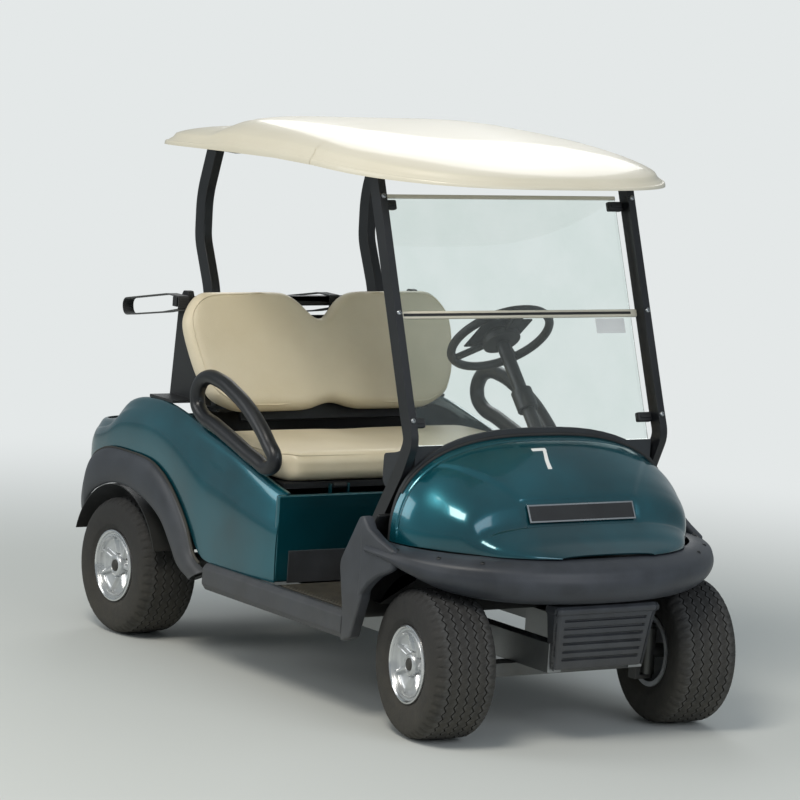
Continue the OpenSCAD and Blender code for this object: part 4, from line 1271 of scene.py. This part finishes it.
@dataclass(frozen=True)
class Stage:
    """Floor, lamps and camera."""

    eye: Point = (10.64507, -7.34078, 2.60554)
    azimuth: float = 55.547
    drop: float = 7.634
    roll: float = 3.815
    lens: float = 185.5

    def camera(self) -> None:
        """Sets the camera ahead of the cart's right side, with a slight roll."""
        a, e, r = (radians(v) for v in (self.azimuth, self.drop, self.roll))
        ahead = Vector((-sin(a) * cos(e), cos(a) * cos(e), -sin(e)))
        right = Vector((cos(a), sin(a), 0))
        up = right.cross(ahead)
        right, up = right * cos(r) + up * sin(r), up * cos(r) - right * sin(r)
        data = bpy.data.cameras.new("camera")
        data.lens, data.sensor_width, data.clip_end = self.lens, 36, 200
        camera = linked("camera", data)
        camera.matrix_world = Matrix.Translation(self.eye) @ Matrix((right, up, -ahead)).transposed().to_4x4()
        bpy.context.scene.camera = camera

    def lamp(self, name: str, spot: Point, power: float, size: float, colour: str = "#FFFFFF") -> None:
        """Adds a soft square lamp that faces the cart."""
        data = bpy.data.lights.new(name, "AREA")
        data.energy, data.size, data.color = power, size, linear(colour)[:3]
        lamp = linked(name, data)
        lamp.location = spot
        lamp.rotation_euler = (Vector((0, 0, 0.8)) - Vector(spot)).to_track_quat("-Z", "Y").to_euler()

    def floor(self) -> None:
        """Lays a pale floor that sweeps to the horizon."""
        deselect()
        bpy.ops.mesh.primitive_circle_add(vertices=96, radius=40, fill_type="NGON")
        floor = bpy.context.object
        floor.name = "floor"
        material = bpy.data.materials.new("pale_floor")
        material.use_nodes = True
        shader = material.node_tree.nodes["Principled BSDF"]
        shader.inputs["Base Color"].default_value = linear("#CFD2CF")
        shader.inputs["Roughness"].default_value = 0.9
        tree = material.node_tree
        spot = add(tree, "TexCoord").outputs["Object"]
        reach = add(tree, "VectorMath", {0: spot}, operation="LENGTH").outputs["Value"]
        far = add(tree, "MapRange", {"Value": reach, "From Min": 1.8, "From Max": 5.0}, interpolation_type="SMOOTHSTEP")
        seen = add(tree, "LightPath")
        through = add(tree, "Math", {0: seen.outputs["Is Camera Ray"], 1: seen.outputs["Is Transmission Ray"]},
                      operation="MAXIMUM")
        share = add(tree, "Math", {0: far.outputs["Result"], 1: through.outputs[0]}, operation="MULTIPLY")
        glow = add(tree, "Emission", {"Color": linear(BACKDROP), "Strength": 1.0})
        blend = add(tree, "MixShader", {0: share.outputs[0], 1: shader.outputs[0], 2: glow.outputs[0]})
        tree.links.new(blend.outputs[0], tree.nodes["Material Output"].inputs["Surface"])
        floor.data.materials.append(material)
        floor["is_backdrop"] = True

    def build(self) -> None:
        """Makes the stage."""
        self.camera()
        self.floor()
        self.lamp("key", (2.4, -4.0, 6.4), 250, 2.4, "#FFF9EE")
        self.lamp("fill", (7.0, 1.0, 3.4), 110, 3.5, "#F2F6FF")
        self.lamp("side", (-3.0, -6.5, 3.5), 110, 3.5)
        self.lamp("rim", (-5.5, 4.0, 4.5), 90, 3.0)
        world = bpy.data.worlds.new("world")
        bpy.context.scene.world = world
        world.use_nodes = True
        tree = world.node_tree
        ground = tree.nodes["Background"]
        path = add(tree, "LightPath")
        share = add(tree, "Math", {0: path.outputs["Is Camera Ray"], 1: path.outputs["Is Transmission Ray"]},
                    operation="MAXIMUM")
        colour = add(tree, "Mix", {0: share.outputs[0], 6: linear("#AEB6BA"), 7: linear(BACKDROP)}, data_type="RGBA")
        tree.links.new(colour.outputs[2], ground.inputs["Color"])
        strength = add(tree, "MapRange", {"Value": share.outputs[0], "To Min": 0.75, "To Max": 1.0})
        tree.links.new(strength.outputs["Result"], ground.inputs["Strength"])
        bpy.context.scene.view_settings.view_transform = "Standard"


def wheels(joints: Sequence[dict]) -> list[Wheel]:
    """Reads the four wheels' places and axles from the joints."""
    found = []
    for word in ("front_right", "front_left", "rear_right", "rear_left"):
        joint = next(j for j in joints if j["name"] == f"{word}_spin")
        axis = Vector(joint["axis"])
        found.append(Wheel(word, Vector(joint["pos_m"]), axis if joint["pos_m"][1] > 0 else -axis))
    return found


def main() -> None:
    """Builds the cart round its frame."""
    logging.basicConfig(level=logging.INFO, format="%(message)s")
    FRAME.update(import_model())
    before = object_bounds()
    REAR_AXLE[0] = next(j for j in FRAME["joints"] if j["name"] == "rear_right_spin")["pos_m"][0]
    for part in (Cowl(), FrontBumper(), WheelWells(), RearBody(), Roof(), Seats(), *wheels(FRAME["joints"]), Screen(),
                 Cabin()):
        part.build()
    dress_copies(FRAME["record"])
    Stage().build()
    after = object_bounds()
    sizes = {"cad": [list(p) for p in before], "visual": [list(p) for p in after]}
    for key, (low, high) in sizes.items():
        log.info("%s box %s %s", key, [round(v, 4) for v in low], [round(v, 4) for v in high])


if __name__ == "__main__":
    main()
